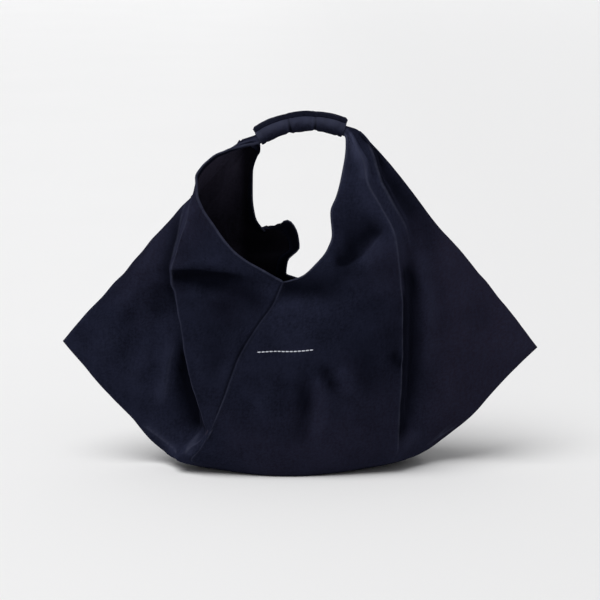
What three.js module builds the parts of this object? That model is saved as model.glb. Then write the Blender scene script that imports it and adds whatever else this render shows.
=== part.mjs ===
// A slouchy cloth tote with two pointed wings: a left and a right panel, each folded round its wing
// and gathered at its peak, sewn together along two slanting seams below a notched mouth and at the
// top of the handle, which a short cloth wrap covers.
// Units are millimetres. +X runs to the bag's right wing, +Y to its back and +Z up.
// The origin is on the floor, under the middle of the flat base.
import * as THREE from "three";
import { mergeVertices } from "three/addons/utils/BufferGeometryUtils.js";

// Driving dimensions of the bag body
const HALF_WIDTH = 260; // from the middle to a wing tip
const HALF_DEPTH = 80; // from the middle to the fullest part of the front
const FRONT_NOTCH = 213; // height of the mouth's low point in front
const BACK_NOTCH = 193; // height of the mouth's low point behind
const LEFT_TIP = 138; // height of the left wing tip
const RIGHT_TIP = 131; // height of the right wing tip

// Cloth layers
const CLOTH = 1.6; // outer cloth
const LINING = 1.0; // lining and mouth facings
const GAP = 0.3; // room between two pieces that touch
const FOLD_SLACK = 0.9; // radius that is left inside the lining at a wing's folded edge
const FOLD_TURN = 6; // length along the cloth over which an open wing edge turns
const FOLD_CLOSED = 50; // degrees between a wing's sides, up to which its edge is a half round fold
const FOLD_OPEN = 95; // and from which it is a plain rounded corner
const RIDGE_ROUND = 9; // length along the cloth over which a fold line turns

// Handle: a bundle of gathered cloth on an arc, and the wrap around it
const HANDLE_SPAN = 96; // between the two ends of the wrap
const HANDLE_SHIFT = 1.5; // how far the handle's middle lies to the right
const HANDLE_LEFT = 359; // height of the bundle's middle at the left end
const HANDLE_RIGHT = 368.5; // height of the bundle's middle at the right end
const HANDLE_RISE = 12.8; // how far the arc rises above its ends
const BUNDLE_RADIUS = 5.6;
const WRAP = 1.6; // thickness of the wrap
const WRAP_ROOM = 0.6; // room between the bundle and the wrap
const WRAP_FLAP = 7; // how far the wrap's free edge stands above the bundle's top
const FLAP_LEAN = 18; // degrees that the flap leans back
const PINCH = 0.5; // how deep the wrap is drawn in between its soft folds

// Mouth facing
const HEM = 10; // width of the facing along the mouth
const HEM_GAP = 0.7; // room between a facing's inner edge and the lining

const FOLD_RADIUS = CLOTH + GAP + LINING + FOLD_SLACK;
const radians = THREE.MathUtils.degToRad;
const mix = THREE.MathUtils.lerp;
const vec = (x, y, z) => new THREE.Vector3(x, y, z);

// Turns rows of percentages into rows of shares with named columns.
const table = (columns, rows) =>
  rows.map((row) => Object.fromEntries(columns.split(" ").map((name, i) => [name, row[i] / 100])));

// Level sections of the body below the mouth, from the base up. x is a percentage of HALF_WIDTH, y
// of HALF_DEPTH and z of the notch height. l is the left fold line and lq the hollow behind it, s the
// slanting seam, r the right fold line and rq the hollow behind it, el and er the wing edges, and
// belly how far the front stands out between the seam and the right fold. The back is the front
// turned half round, as both panels are folded alike.
const BODY = table("z lx ly lqx lqy el elz sx sy belly rx ry rqx rqy er erz", [
  [0, -40, -28, -41.5, -16, -44, 0, -33, -40, 34, 22, -45, 31, -26, 40, 0],
  [7.5, -51.5, -55, -53, -33, -59, 7.5, -45.5, -65, 20, 38.5, -61, 45.5, -37.5, 55, 7.5],
  [14, -46.5, -65, -48.5, -28, -65.5, 14, -42, -77.5, 16, 41, -69, 46.5, -37.5, 62, 14],
  [24.5, -40, -72.5, -42, -22.5, -71.5, 24.5, -37.5, -87.5, 14, 41, -75, 47.5, -36, 70.5, 24.5],
  [39.5, -43, -72.5, -43, -19, -82.5, 39.5, -32, -91, 15, 41.5, -80, 48, -35, 82, 39.5],
  [53, -46, -72.5, -45, -17.5, -92, 53, -28, -94, 15, 42, -82.5, 48.5, -34, 93.5, 54],
  [63, -47.5, -72.5, -46.5, -17.5, -100, 100, -25, -92.5, 15, 42.5, -84, 49, -32.5, 100, 100],
  [80, -49.5, -71, -49, -20, -89.5, 80, -16.5, -87.5, 11, 42.5, -82.5, 49, -31, 88.5, 80],
  [89, -51, -69, -51, -24, -82.5, 89, -11, -82.5, 8, 42.5, -81, 48.5, -31, 82.5, 89],
  [95.5, -51.5, -68, -52.5, -27.5, -78, 95.5, -8.5, -79, 5, 42, -80, 48, -32.5, 78.5, 95.5],
  [100, -52.5, -71, -54, -31, -74, 100, -7, -76, 3, 41.5, -79, 47.5, -34, 75, 100],
]);
const TIP_ROW = 6; // the row of BODY whose wing edges are the tips

// Sections of each peak above the mouth's notch, from the notch up to the handle wrap. x is a
// percentage of the way from the wrap's end to the wing tip, z of the way from the front notch to
// the wrap's end, y of HALF_DEPTH. f is the front rim, r and q the front fold line and the hollow behind
// it, e the wing's folded edge, p and t the same fold pair behind, and b the back rim. dip is how far
// the cloth hangs between t and b.
const PEAK_COLUMNS = "fx fy fz rx ry rz qx qy ex ez px py tx ty tz bx by bz dip";
const LEFT_PEAK = table(PEAK_COLUMNS, [
  [-4, -77, 8, 42.5, -76, 9, 44.5, -35, 63.5, 9, 35.5, 34, 28, 76, -2, -14, 69, -6, 0],
  [4.5, -76.5, 15, 41, -70.5, 19, 42.5, -35, 59, 17, 34, 36, 27, 73, 6, -15, 65, 4.5, 0],
  [10.5, -75.5, 21.5, 39.5, -67, 28, 41, -34.5, 55, 25, 32.5, 37.5, 25, 71, 14, -21, 69, 14, 4],
  [16, -73, 30, 38, -64, 35, 39, -33, 50, 33, 31, 38.5, 23, 68, 23, -20, 70, 24.5, 8.5],
  [21.5, -68.5, 41, 36, -60.5, 42, 37, -31.5, 45, 41, 28.5, 39, 20, 64.5, 31.5, -15, 67.5, 34.5, 12.5],
  [27, -63.5, 52.5, 34.5, -54.5, 51, 34.5, -29, 40, 49, 25.5, 38, 16.5, 60, 40, -5, 63.5, 27, 0],
  [30, -57, 64, 32, -42, 60.5, 31.5, -22, 35, 57, 22, 34.5, 13, 53, 49, 1.5, 55, 38, 0],
  [30, -51, 75, 29, -34, 72, 28, -16, 28.5, 67, 18, 27, 11, 41, 61.5, 3, 41, 55.5, 0],
  [27, -45, 82.5, 24, -29, 82, 21.5, -13, 19, 80, 14.5, 16, 9, 24, 78, 2.5, 24, 75.5, 0],
  [19, -34, 92, 16, -21, 93, 14, -10, 11, 93, 8, 11.5, 5, 12.5, 91, 0, 12.5, 87.5, 0],
  [7.5, -19, 97, 7.5, -12.5, 99, 7, -7.5, 6, 101, 4.5, 9.5, 2, 10, 96, -1.5, 7, 92, 0],
]);
const RIGHT_PEAK = table(PEAK_COLUMNS, [
  [-23.5, -74.5, 3, 27.5, -77.5, 4.5, 35.5, -34, 65.5, 6, 42, 31, 40, 70, 0, -5.5, 74, -7, 0],
  [-15.5, -69, 11.5, 26.5, -76.5, 14.5, 34.5, -32.5, 59.5, 16, 40, 31, 34.5, 64, 11, 6, 70, 6, 0],
  [-9.5, -61, 22.5, 25, -73, 25.5, 32.5, -31.5, 52, 28, 37, 30, 28.5, 57, 25.5, 14.5, 63, 23, 0],
  [-7.5, -55, 32, 23, -67, 36, 30, -30, 45, 40, 33.5, 28, 26.5, 47, 38.5, 18.5, 54, 37, 0],
  [-8.5, -47.5, 46, 18.5, -60, 45.5, 26.5, -28, 38.5, 52, 30, 25, 24.5, 38, 51, 19, 45, 51.5, 0],
  [-6, -40, 56.5, 13, -50, 55.5, 22.5, -25, 31.5, 64, 26, 21, 21, 29, 63, 17.5, 36, 64.5, 0],
  [-3, -29, 69.5, 9.5, -40, 66.5, 18, -21, 24.5, 76, 20.5, 16.5, 17.5, 21, 75.5, 14.5, 27, 77, 0],
  [-1, -20, 80, 8.5, -28, 78, 13.5, -16, 16.5, 88, 15, 12.5, 13, 15, 86.5, 11, 19, 86.5, 0],
  [0.5, -13, 90, 6, -18, 89, 8.5, -11, 11, 97, 10, 10, 8.5, 11, 95, 7, 13, 94, 0],
  [1, -10, 95, 3.5, -12, 97, 5, -8, 6.5, 103, 6, 9, 5, 9.5, 99.5, 4, 10, 98, 0],
]);

// Where each corner of a section lies around the gathered bundle, in degrees from its top towards
// the front, in the order f r q e p t b.
const BUNDLE_ANGLES = [105, 70, 35, 0, -55, -110, -165];
const BUNDLE_STEPS = 8; // sections along the bundle, from end to end

// The handle's arc at a share of its length: its middle line's point, and the way out from the arc.
function handleArc(share) {
  const left = new THREE.Vector2(HANDLE_SHIFT - HANDLE_SPAN / 2, HANDLE_LEFT);
  const right = new THREE.Vector2(HANDLE_SHIFT + HANDLE_SPAN / 2, HANDLE_RIGHT);
  const chord = right.clone().sub(left);
  const along = chord.clone().normalize();
  const up = new THREE.Vector2(-along.y, along.x);
  const radius = ((chord.length() / 2) ** 2 + HANDLE_RISE ** 2) / (2 * HANDLE_RISE);
  const turn = mix(-1, 1, share) * Math.asin(chord.length() / 2 / radius);
  const out = up.clone().multiplyScalar(Math.cos(turn)).addScaledVector(along, Math.sin(turn));
  const centre = left.add(right).multiplyScalar(0.5).addScaledVector(up, HANDLE_RISE - radius);
  const point = centre.addScaledVector(out, radius);
  return { point: vec(point.x, 0, point.y), out: vec(out.x, 0, out.y) };
}

// The seven corners of a body section on one side, from the front seam round the wing to the back.
function bodyCorners(row, right) {
  const z = (back) => row.z * mix(FRONT_NOTCH, BACK_NOTCH, back);
  const at = (x, y, back) => vec(x * HALF_WIDTH, y * HALF_DEPTH, z(back));
  const tip = row === BODY[TIP_ROW];
  const edgeZ = tip ? (right ? RIGHT_TIP : LEFT_TIP) : (right ? row.erz : row.elz) * FRONT_NOTCH;
  const edge = vec((right ? row.er : row.el) * HALF_WIDTH, 0, edgeZ);
  const seam = [at(row.sx, row.sy, 0), at(-row.sx, -row.sy, 1)];
  const leftFold = [[row.lx, row.ly], [row.lqx, row.lqy]];
  const rightFold = [[row.rx, row.ry], [row.rqx, row.rqy]];
  const [front, behind] = right ? [rightFold, leftFold] : [leftFold, rightFold];
  return [
    seam[0],
    at(...front[0], 0.1),
    at(...front[1], 0.35),
    edge,
    at(-behind[1][0], -behind[1][1], 0.65),
    at(-behind[0][0], -behind[0][1], 0.9),
    seam[1],
  ];
}

// The same seven corners for a section of one peak.
function peakCorners(row, right) {
  const side = right ? 1 : -1;
  const top = right ? HANDLE_RIGHT : HANDLE_LEFT;
  const end = HANDLE_SPAN / 2 + side * HANDLE_SHIFT;
  const at = (x, y, z) =>
    vec(side * mix(end, HALF_WIDTH, x), y * HALF_DEPTH, mix(FRONT_NOTCH, top, z));
  return [
    at(row.fx, row.fy, row.fz),
    at(row.rx, row.ry, row.rz),
    at(row.qx, row.qy, mix(row.rz, row.ez, 0.5)),
    at(row.ex, 0, row.ez),
    at(row.px, row.py, mix(row.ez, row.tz, 0.4)),
    at(row.tx, row.ty, row.tz),
    at(row.bx, row.by, row.bz),
  ];
}

// The way into the cloth from a wing's edge, square to the edge line, long enough for the fold.
function foldInset(before, edge, after) {
  const square = (a, b) => {
    const d = b.clone().sub(a).normalize();
    return vec(-d.z, 0, d.x);
  };
  const first = square(before ?? edge.clone().multiplyScalar(2).sub(after), edge);
  const second = square(edge, after);
  const middle = first.clone().add(second).normalize();
  return middle.divideScalar(Math.max(0.6, middle.dot(first))).multiplyScalar(FOLD_RADIUS);
}

// Points along a section: straight cloth between corners, with rounded turns at them, and a fold
// at the wing's edge. bow is how far the cloth stands out between f and r, and between t and b.
function sectionPoints(corners, inset, bow) {
  const [f, r, q, e, p, t, b] = corners;
  const points = [];
  const straight = (from, to, shares, out, dip) => {
    const side = to.clone().sub(from).cross(vec(0, 0, 1)).normalize().multiplyScalar(out);
    side.z = -dip;
    for (const share of shares)
      points.push(from.clone().lerp(to, share).addScaledVector(side, 4 * share * (1 - share)));
  };
  const reach = (corner, end) => Math.min(RIDGE_ROUND / corner.distanceTo(end), 0.4);
  const turned = (from, corner, to, steps) => {
    const start = corner.clone().lerp(from, reach(corner, from));
    const stop = corner.clone().lerp(to, reach(corner, to));
    for (let i = 0; i <= steps; i++)
      points.push(roundedCorner(start, corner, stop, i / steps));
  };
  const hem = (rim, corner) => Math.min(0.25, HEM / rim.distanceTo(corner));
  const frontEnd = 1 - reach(r, f);
  const backStart = reach(t, b);
  straight(f, r, [0, hem(f, r), frontEnd * 0.5, frontEnd * 0.78], bow.front, 0);
  turned(f, r, q, 2);
  turned(r, q, e, 1);
  straight(q, e, [0.45, 0.75], 0, 0);
  points.push(...foldPoints(q, e, p, inset));
  straight(e, p, [0.25, 0.55], 0, 0);
  turned(e, p, t, 1);
  turned(p, t, b, 2);
  const backSpan = [0.22, 0.5].map((share) => mix(backStart, 1, share));
  straight(t, b, [...backSpan, 1 - hem(b, t), 1], bow.back, bow.dip);
  return points;
}

// A point on the curve that rounds a corner, at a share of the way from its start to its stop.
function roundedCorner(start, corner, stop, share) {
  const one = start.clone().lerp(corner, share);
  return one.lerp(corner.clone().lerp(stop, share), share);
}

// The wing's edge: a half round fold where the cloth lies flat together, that opens to a plain
// rounded corner where the two sides stand apart.
function foldPoints(q, e, p, inset) {
  const front = vec(0, -FOLD_RADIUS, 0);
  const start = e.clone().lerp(q, Math.min(0.25, FOLD_TURN / e.distanceTo(q)));
  const stop = e.clone().lerp(p, Math.min(0.2, FOLD_TURN / e.distanceTo(p)));
  const angle = q.clone().sub(e).angleTo(p.clone().sub(e));
  const open = THREE.MathUtils.smoothstep(angle, radians(FOLD_CLOSED), radians(FOLD_OPEN));
  return [0, 1, 2, 3, 4].map((i) => {
    const turn = (i / 4) * Math.PI;
    const round = e.clone().addScaledVector(inset, 1 - Math.sin(turn));
    round.addScaledVector(front, Math.cos(turn));
    return round.lerp(roundedCorner(start, e, stop, i / 4), open);
  });
}

// Points around the gathered bundle at a share of the handle's arc, in step with a section's.
function bundlePoints(share, right, columns) {
  const { point, out } = handleArc(share);
  const last = BUNDLE_ANGLES.length - 1;
  return columns.map((column) => {
    const i = Math.min(last - 1, Math.floor(column));
    const angle = radians(mix(BUNDLE_ANGLES[i], BUNDLE_ANGLES[i + 1], column - i));
    return point
      .clone()
      .addScaledVector(out, BUNDLE_RADIUS * Math.cos(angle))
      .add(vec(0, -BUNDLE_RADIUS * Math.sin(angle), 0));
  });
}

// Where the points of sectionPoints lie between the seven corners, as shares past each corner.
const COLUMNS = [
  0, 0.2, 0.45, 0.7, 0.9, 1, 1.1, 1.85, 2.15, 2.45, 2.65, 2.8, 2.9, 3, 3.1, 3.2,
  3.35, 3.55, 3.85, 4.15, 4.9, 5, 5.1, 5.3, 5.55, 5.8, 6,
];

// All sections of one side, from the base to the middle of the handle.
function sideSections(right) {
  const peak = right ? RIGHT_PEAK : LEFT_PEAK;
  const rows = [
    ...BODY.map((row) => ({
      corners: bodyCorners(row, right),
      bow: right
        ? { front: row.belly * HALF_DEPTH, back: 0, dip: 0 }
        : { front: 0, back: row.belly * HALF_DEPTH, dip: 0 },
    })),
    ...peak.map((row) => ({
      corners: peakCorners(row, right),
      bow: { front: 0, back: 0, dip: row.dip * (HANDLE_LEFT - FRONT_NOTCH) },
    })),
  ];
  const edges = rows.map((row) => row.corners[3]);
  const end = handleArc(right ? 1 : 0);
  edges.push(end.point.clone().addScaledVector(end.out, BUNDLE_RADIUS));
  const side = right ? 1 : -1;
  const sections = rows.map((row, i) => {
    const inset = foldInset(edges[i - 1], edges[i], edges[i + 1]).multiplyScalar(side);
    return sectionPoints(row.corners, i === 0 ? vec(-side * FOLD_RADIUS, 0, 0) : inset, {
      front: row.bow.front * side,
      back: row.bow.back * side,
      dip: row.bow.dip,
    });
  });
  for (let i = 0; i <= BUNDLE_STEPS / 2; i++) {
    const share = i / BUNDLE_STEPS;
    sections.push(bundlePoints(right ? 1 - share : share, right, COLUMNS));
  }
  return sections;
}

// The bag's outer surface: points that are shared where two patches meet, and its four-sided faces,
// each with the side and the patch that it belongs to.
function bagSurface() {
  const points = [];
  const known = new Map();
  const faces = [];
  const index = (point) => {
    const key = point.toArray().map((v) => Math.round(v * 1e3)).join();
    if (!known.has(key)) known.set(key, points.push(point) - 1);
    return known.get(key);
  };
  for (const right of [false, true]) {
    const grid = sideSections(right).map((section) => section.map(index));
    const last = grid[0].length - 1;
    const add = (patch, ...corners) =>
      faces.push({ right, patch, corners: right ? corners : corners.reverse() });
    grid.slice(1).forEach((upper, i) => {
      const lower = grid[i];
      const facing = i >= BODY.length - 2;
      const handle = i >= grid.length - 1 - BUNDLE_STEPS / 2;
      for (let j = 0; j < last; j++) {
        const rim = j === 0 ? "frontFacing" : j === last - 1 ? "backFacing" : "panels";
        const patch = handle ? "handle" : facing ? rim : "panels";
        add(patch, lower[j], lower[j + 1], upper[j + 1], upper[j]);
      }
    });
    for (let j = 0; j < last / 2; j++)
      add("base", grid[0][j + 1], grid[0][j], grid[0][last - j], grid[0][last - j - 1]);
  }
  return { points, faces };
}

// Splits four-sided faces into triangles across the shorter diagonal, and drops empty ones.
function triangles(points, faces) {
  return faces.flatMap(({ corners: [a, b, c, d] }) => {
    const short = points[a].distanceTo(points[c]) <= points[b].distanceTo(points[d]);
    const pair = short ? [[a, b, c], [a, c, d]] : [[a, b, d], [b, c, d]];
    return pair.filter((t) => new Set(t).size === 3);
  });
}

// At each point, the way in from the surface that keeps a layer's thickness even round folds.
function waysIn(points, faces) {
  const normals = points.map(() => []);
  const face = new THREE.Triangle();
  for (const t of triangles(points, faces)) {
    face.set(...t.map((i) => points[i]));
    const normal = face.getNormal(vec(0, 0, 0));
    t.forEach((corner, i) => {
      const a = points[t[(i + 1) % 3]].clone().sub(points[corner]);
      const b = points[t[(i + 2) % 3]].clone().sub(points[corner]);
      normals[corner].push({ normal, weight: a.angleTo(b) });
    });
  }
  return normals.map((list) => {
    const mean = vec(0, 0, 0);
    for (const { normal, weight } of list) mean.addScaledVector(normal, weight);
    mean.normalize();
    const closest = Math.min(...list.map(({ normal }) => normal.dot(mean)));
    return mean.multiplyScalar(-1 / Math.max(0.75, closest));
  });
}

// A closed solid between two depths under some faces of a surface, as a geometry. Its open edges are
// walled, and pulled back by the given margin.
function layer(surface, faces, outer, inner, margin = 0) {
  const { points, inward } = surface;
  const tris = triangles(points, faces);
  const edges = new Map();
  for (const t of tris)
    t.forEach((a, i) => edges.set(a + "," + t[(i + 1) % 3], [a, t[(i + 1) % 3], t[(i + 2) % 3]]));
  const open = [...edges.values()].filter(([a, b]) => !edges.has(b + "," + a));
  const pull = new Map();
  if (margin)
    for (const [a, b, c] of open) {
      const along = points[b].clone().sub(points[a]).normalize();
      const way = points[c].clone().sub(points[a]);
      way.addScaledVector(along, -way.dot(along)).normalize();
      for (const i of [a, b]) pull.set(i, (pull.get(i) ?? vec(0, 0, 0)).add(way));
    }
  const at = (i, depth) => {
    const point = points[i].clone().addScaledVector(inward[i], depth);
    return pull.has(i) ? point.addScaledVector(pull.get(i).clone().normalize(), margin) : point;
  };
  const soup = [];
  const put = (...corners) => corners.forEach((corner) => soup.push(...corner.toArray()));
  for (const [a, b, c] of tris) {
    put(at(a, outer), at(b, outer), at(c, outer));
    put(at(a, inner), at(c, inner), at(b, inner));
  }
  for (const [a, b] of open) {
    put(at(a, outer), at(b, inner), at(b, outer));
    put(at(a, outer), at(a, inner), at(b, inner));
  }
  const geometry = new THREE.BufferGeometry();
  geometry.setAttribute("position", new THREE.Float32BufferAttribute(soup, 3));
  const merged = mergeVertices(geometry, 1e-4);
  merged.computeVertexNormals();
  return merged;
}

// The wrap's section about the bundle's middle, across (to the back) and up: it starts at the top
// in front, runs round under the bundle, and its other end stands up behind as a flap.
function wrapSection(squeeze) {
  const inner = BUNDLE_RADIUS + WRAP_ROOM;
  const ring = (radius, angle) => [-radius * Math.sin(angle), radius * Math.cos(angle)];
  const start = radians(12);
  const stop = radians(345);
  const steps = 16;
  const around = Array.from({ length: steps + 1 }, (_, i) => mix(start, stop, i / steps));
  const swell = (angle) => WRAP - squeeze * Math.sin(angle / 2) ** 2;
  const lean = radians(FLAP_LEAN);
  const flap = (out) => {
    const [x, y] = ring(inner + out, stop);
    return [x + WRAP_FLAP * Math.sin(lean), y + WRAP_FLAP * Math.cos(lean)];
  };
  return [
    ...around.map((angle) => ring(inner + swell(angle), angle)),
    flap(WRAP),
    flap(0),
    ...around.reverse().map((angle) => ring(inner, angle)),
  ];
}

// The handle wrap: its section carried along the handle's arc, drawn in a little at the pinches.
function wrapGeometry() {
  const steps = 12;
  const sections = Array.from({ length: steps + 1 }, (_, i) => {
    const share = mix(0.03, 0.97, i / steps);
    const { point, out } = handleArc(share);
    const squeeze = PINCH * (0.5 - 0.5 * Math.cos((i / steps) * 6 * Math.PI));
    return wrapSection(squeeze).map(([across, up]) =>
      point.clone().addScaledVector(out, up).add(vec(0, across, 0)),
    );
  });
  const soup = [];
  const put = (...corners) => corners.forEach((corner) => soup.push(...corner.toArray()));
  const quad = (a, b, c, d) => {
    put(a, b, c);
    put(a, c, d);
  };
  const last = sections[0].length - 1;
  const [first, final] = [sections[0], sections[steps]];
  for (let j = 0; j < (last - 1) / 2; j++) {
    quad(first[j], first[last - j], first[last - j - 1], first[j + 1]);
    quad(final[j], final[j + 1], final[last - j - 1], final[last - j]);
  }
  for (let i = 0; i < steps; i++) {
    const [near, far] = [sections[i], sections[i + 1]];
    near.forEach((corner, j) => {
      const next = (j + 1) % near.length;
      quad(corner, near[next], far[next], far[j]);
    });
  }
  const geometry = new THREE.BufferGeometry();
  geometry.setAttribute("position", new THREE.Float32BufferAttribute(soup, 3));
  return mergeVertices(geometry, 1e-4);
}

const navy = new THREE.MeshStandardMaterial({ color: 0x1b1e30, roughness: 0.92, metalness: 0 });
const navyFacing = new THREE.MeshStandardMaterial({ color: 0x181a29, roughness: 0.95, metalness: 0 });
const black = new THREE.MeshStandardMaterial({ color: 0x0e0d13, roughness: 0.85, metalness: 0 });

const bag = new THREE.Group();
const add = (name, geometry, material) => {
  const mesh = new THREE.Mesh(geometry, material);
  mesh.name = name;
  bag.add(mesh);
};

const surface = bagSurface();
surface.inward = waysIn(surface.points, surface.faces);
const side = (right) => surface.faces.filter((face) => face.right === right);
const patches = (...names) => surface.faces.filter((face) => names.includes(face.patch));
const liningTop = CLOTH + GAP;
const liningUnder = liningTop + LINING;

add("left_panel", layer(surface, side(false), 0, CLOTH, GAP), navy);
add("right_panel", layer(surface, side(true), 0, CLOTH, GAP), navy);
add("lining", layer(surface, patches("panels", "base"), liningTop, liningUnder, HEM_GAP), black);
add("front_facing", layer(surface, patches("frontFacing"), liningTop, liningUnder), navyFacing);
add("back_facing", layer(surface, patches("backFacing"), liningTop, liningUnder), navyFacing);
add("handle_wrap", wrapGeometry(), navy);

export default bag;
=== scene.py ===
"""Dresses a slouchy navy cloth tote bag: sewn cloth shell, lining, hem facings, wrapped handle,
thread, and the studio around them. It is laid out as a Blender add-on and runs as a script."""
import math
from collections import namedtuple

import bpy
import numpy as np
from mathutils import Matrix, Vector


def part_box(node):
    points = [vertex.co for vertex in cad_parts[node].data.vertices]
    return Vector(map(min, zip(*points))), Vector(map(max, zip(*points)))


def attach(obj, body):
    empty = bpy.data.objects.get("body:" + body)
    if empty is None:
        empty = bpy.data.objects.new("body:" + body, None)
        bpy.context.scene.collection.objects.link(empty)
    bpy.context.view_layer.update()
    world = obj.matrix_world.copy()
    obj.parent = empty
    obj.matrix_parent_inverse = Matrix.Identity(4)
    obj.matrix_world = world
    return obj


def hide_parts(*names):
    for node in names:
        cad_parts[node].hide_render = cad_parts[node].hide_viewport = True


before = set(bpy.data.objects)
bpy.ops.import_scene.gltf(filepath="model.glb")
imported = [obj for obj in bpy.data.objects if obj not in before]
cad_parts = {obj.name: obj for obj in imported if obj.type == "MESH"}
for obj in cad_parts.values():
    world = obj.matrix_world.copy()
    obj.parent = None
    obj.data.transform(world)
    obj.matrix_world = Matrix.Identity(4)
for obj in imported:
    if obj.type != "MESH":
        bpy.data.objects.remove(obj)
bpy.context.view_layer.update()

bl_info = {
    "name": "Folded Cloth Tote",
    "version": (1, 0, 0),
    "blender": (4, 5, 0),
    "location": "3D View > Sidebar > Tote",
    "description": "Builds a folded and sewn cloth tote bag with a wrapped handle",
    "category": "Object",
}

MM = 0.001
BAG_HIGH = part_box("right_panel")[1]


def length_setting(name, default, description):
    """A length that the panel shows, in metres."""
    return bpy.props.FloatProperty(name=name, description=description, default=default, unit="LENGTH")


def colour_setting(name, default, description):
    """A colour that the panel shows."""
    return bpy.props.FloatVectorProperty(name=name, description=description, default=default, subtype="COLOR")


class ToteSizes(bpy.types.PropertyGroup):
    """The bag's sizes. The shapes below follow them by shares."""

    half_width: length_setting("Half Width", BAG_HIGH.x, "From the middle to a wing tip")
    half_depth: length_setting("Half Depth", 0.080, "From the middle to the front panel")
    front_notch: length_setting("Front Notch", 0.213, "Height of the mouth's low point in front")
    back_notch: length_setting("Back Notch", 0.193, "Height of the mouth's low point behind")
    left_tip: length_setting("Left Tip", 0.138, "Height of the left wing tip")
    right_tip: length_setting("Right Tip", 0.131, "Height of the right wing tip")
    cloth: length_setting("Cloth", 0.0016, "Thickness of the outer cloth")
    lining: length_setting("Lining", 0.001, "Thickness of the lining and facings")
    gap: length_setting("Gap", 0.0003, "Room between two layers")
    hem: length_setting("Hem", 0.010, "Width of the facing along the mouth")
    handle_span: length_setting("Handle Span", 0.096, "Between the two ends of the wrap")
    handle_shift: length_setting("Handle Shift", 0.0015, "How far the handle lies to the right")
    handle_left: length_setting("Handle Left", 0.359, "Height of the handle's left end")
    handle_right: length_setting("Handle Right", 0.3685, "Height of the handle's right end")
    handle_rise: length_setting("Handle Rise", 0.0128, "How far the arc rises above its ends")
    bundle_radius: length_setting("Bundle Radius", 0.0056, "Radius of the gathered cloth")
    wrap_room: length_setting("Wrap Room", 0.0006, "Room between the gathered cloth and the wrap")
    wrap_flap: length_setting("Wrap Flap", 0.007, "How far the wrap's free edge stands up")
    stitch: length_setting("Stitch", 0.003, "Length of a hem stitch")


class ToteColours(bpy.types.PropertyGroup):
    """The finishes' colours."""

    navy: colour_setting("Navy", (0.0076, 0.0087, 0.0176), "Outer cloth")
    # The worn colour is also the colour of painted highlights on ridges, rims and crests
    worn: colour_setting("Worn", (0.034, 0.037, 0.060), "Outer cloth where folds and rims are rubbed")
    lining: colour_setting("Lining", (0.0140, 0.0126, 0.0205), "Lining cloth")
    thread: colour_setting("Thread", (0.0040, 0.0047, 0.0100), "Sewing thread")
    mark: colour_setting("Mark", (0.62, 0.64, 0.72), "Pale running stitches on the front")
    floor: colour_setting("Floor", (0.86, 0.86, 0.865), "Studio floor")


def table(columns, rows):
    """Rows of percentages as named columns of shares."""
    return dict(zip(columns.split(), np.array(rows, float).T / 100))


# Level sections of the body below the mouth, from the base up. x is a share of half_width, y of
# half_depth and z of the notch height. l and r are the left and right fold lines, lq and rq the
# hollows behind them, s the slanting seam, el and er the wing edges, elz and erz their heights, and
# belly how far the front stands out between the seam and the right fold. The back is the front turned
# half round.
BODY = table("z lx ly lqx lqy el elz sx sy belly rx ry rqx rqy er erz", [
    [0, -40, -28, -41.5, -16, -44, 0, -33, -40, 34, 22, -45, 31, -26, 40, 0],
    [7.5, -51.5, -55, -53, -33, -59, 7.5, -45.5, -65, 20, 38.5, -61, 45.5, -37.5, 55, 7.5],
    [14, -46.5, -65, -48.5, -28, -64.5, 14, -42, -77.5, 16, 41, -69, 46.5, -37.5, 62, 14],
    [24.5, -40, -72.5, -42, -22.5, -71.5, 24.5, -37.5, -87.5, 14, 41, -75, 47.5, -36, 72, 24.5],
    [39.5, -43, -72.5, -43, -19, -83.2, 39.5, -32, -91, 15, 41.5, -80, 48, -35, 82.8, 39.5],
    [53, -46, -72.5, -45, -17.5, -92, 53, -28, -94, 15, 42, -82.5, 48.5, -34, 93.5, 54],
    [63, -47.5, -72.5, -46.5, -17.5, -100, 100, -25, -92.5, 15, 42.5, -84, 49, -32.5, 100, 100],
    [80, -49.5, -71, -49, -20, -89.5, 80, -16.5, -87.5, 11, 42.5, -82.5, 49, -31, 88.5, 80],
    [89, -51, -69, -51, -24, -82.5, 89, -11, -82.5, 8, 42.5, -81, 48.5, -31, 82.5, 89],
    [95.5, -51.5, -68, -52.5, -27.5, -78, 95.5, -8.5, -79, 5, 42, -80, 48, -32.5, 78.5, 95.5],
    [100, -52.5, -71, -54, -31, -74, 100, -7, -76, 3, 41.5, -79, 47.5, -34, 75, 100],
])
TIP_ROW = 6
NOTCH_ROW = 10

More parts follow.
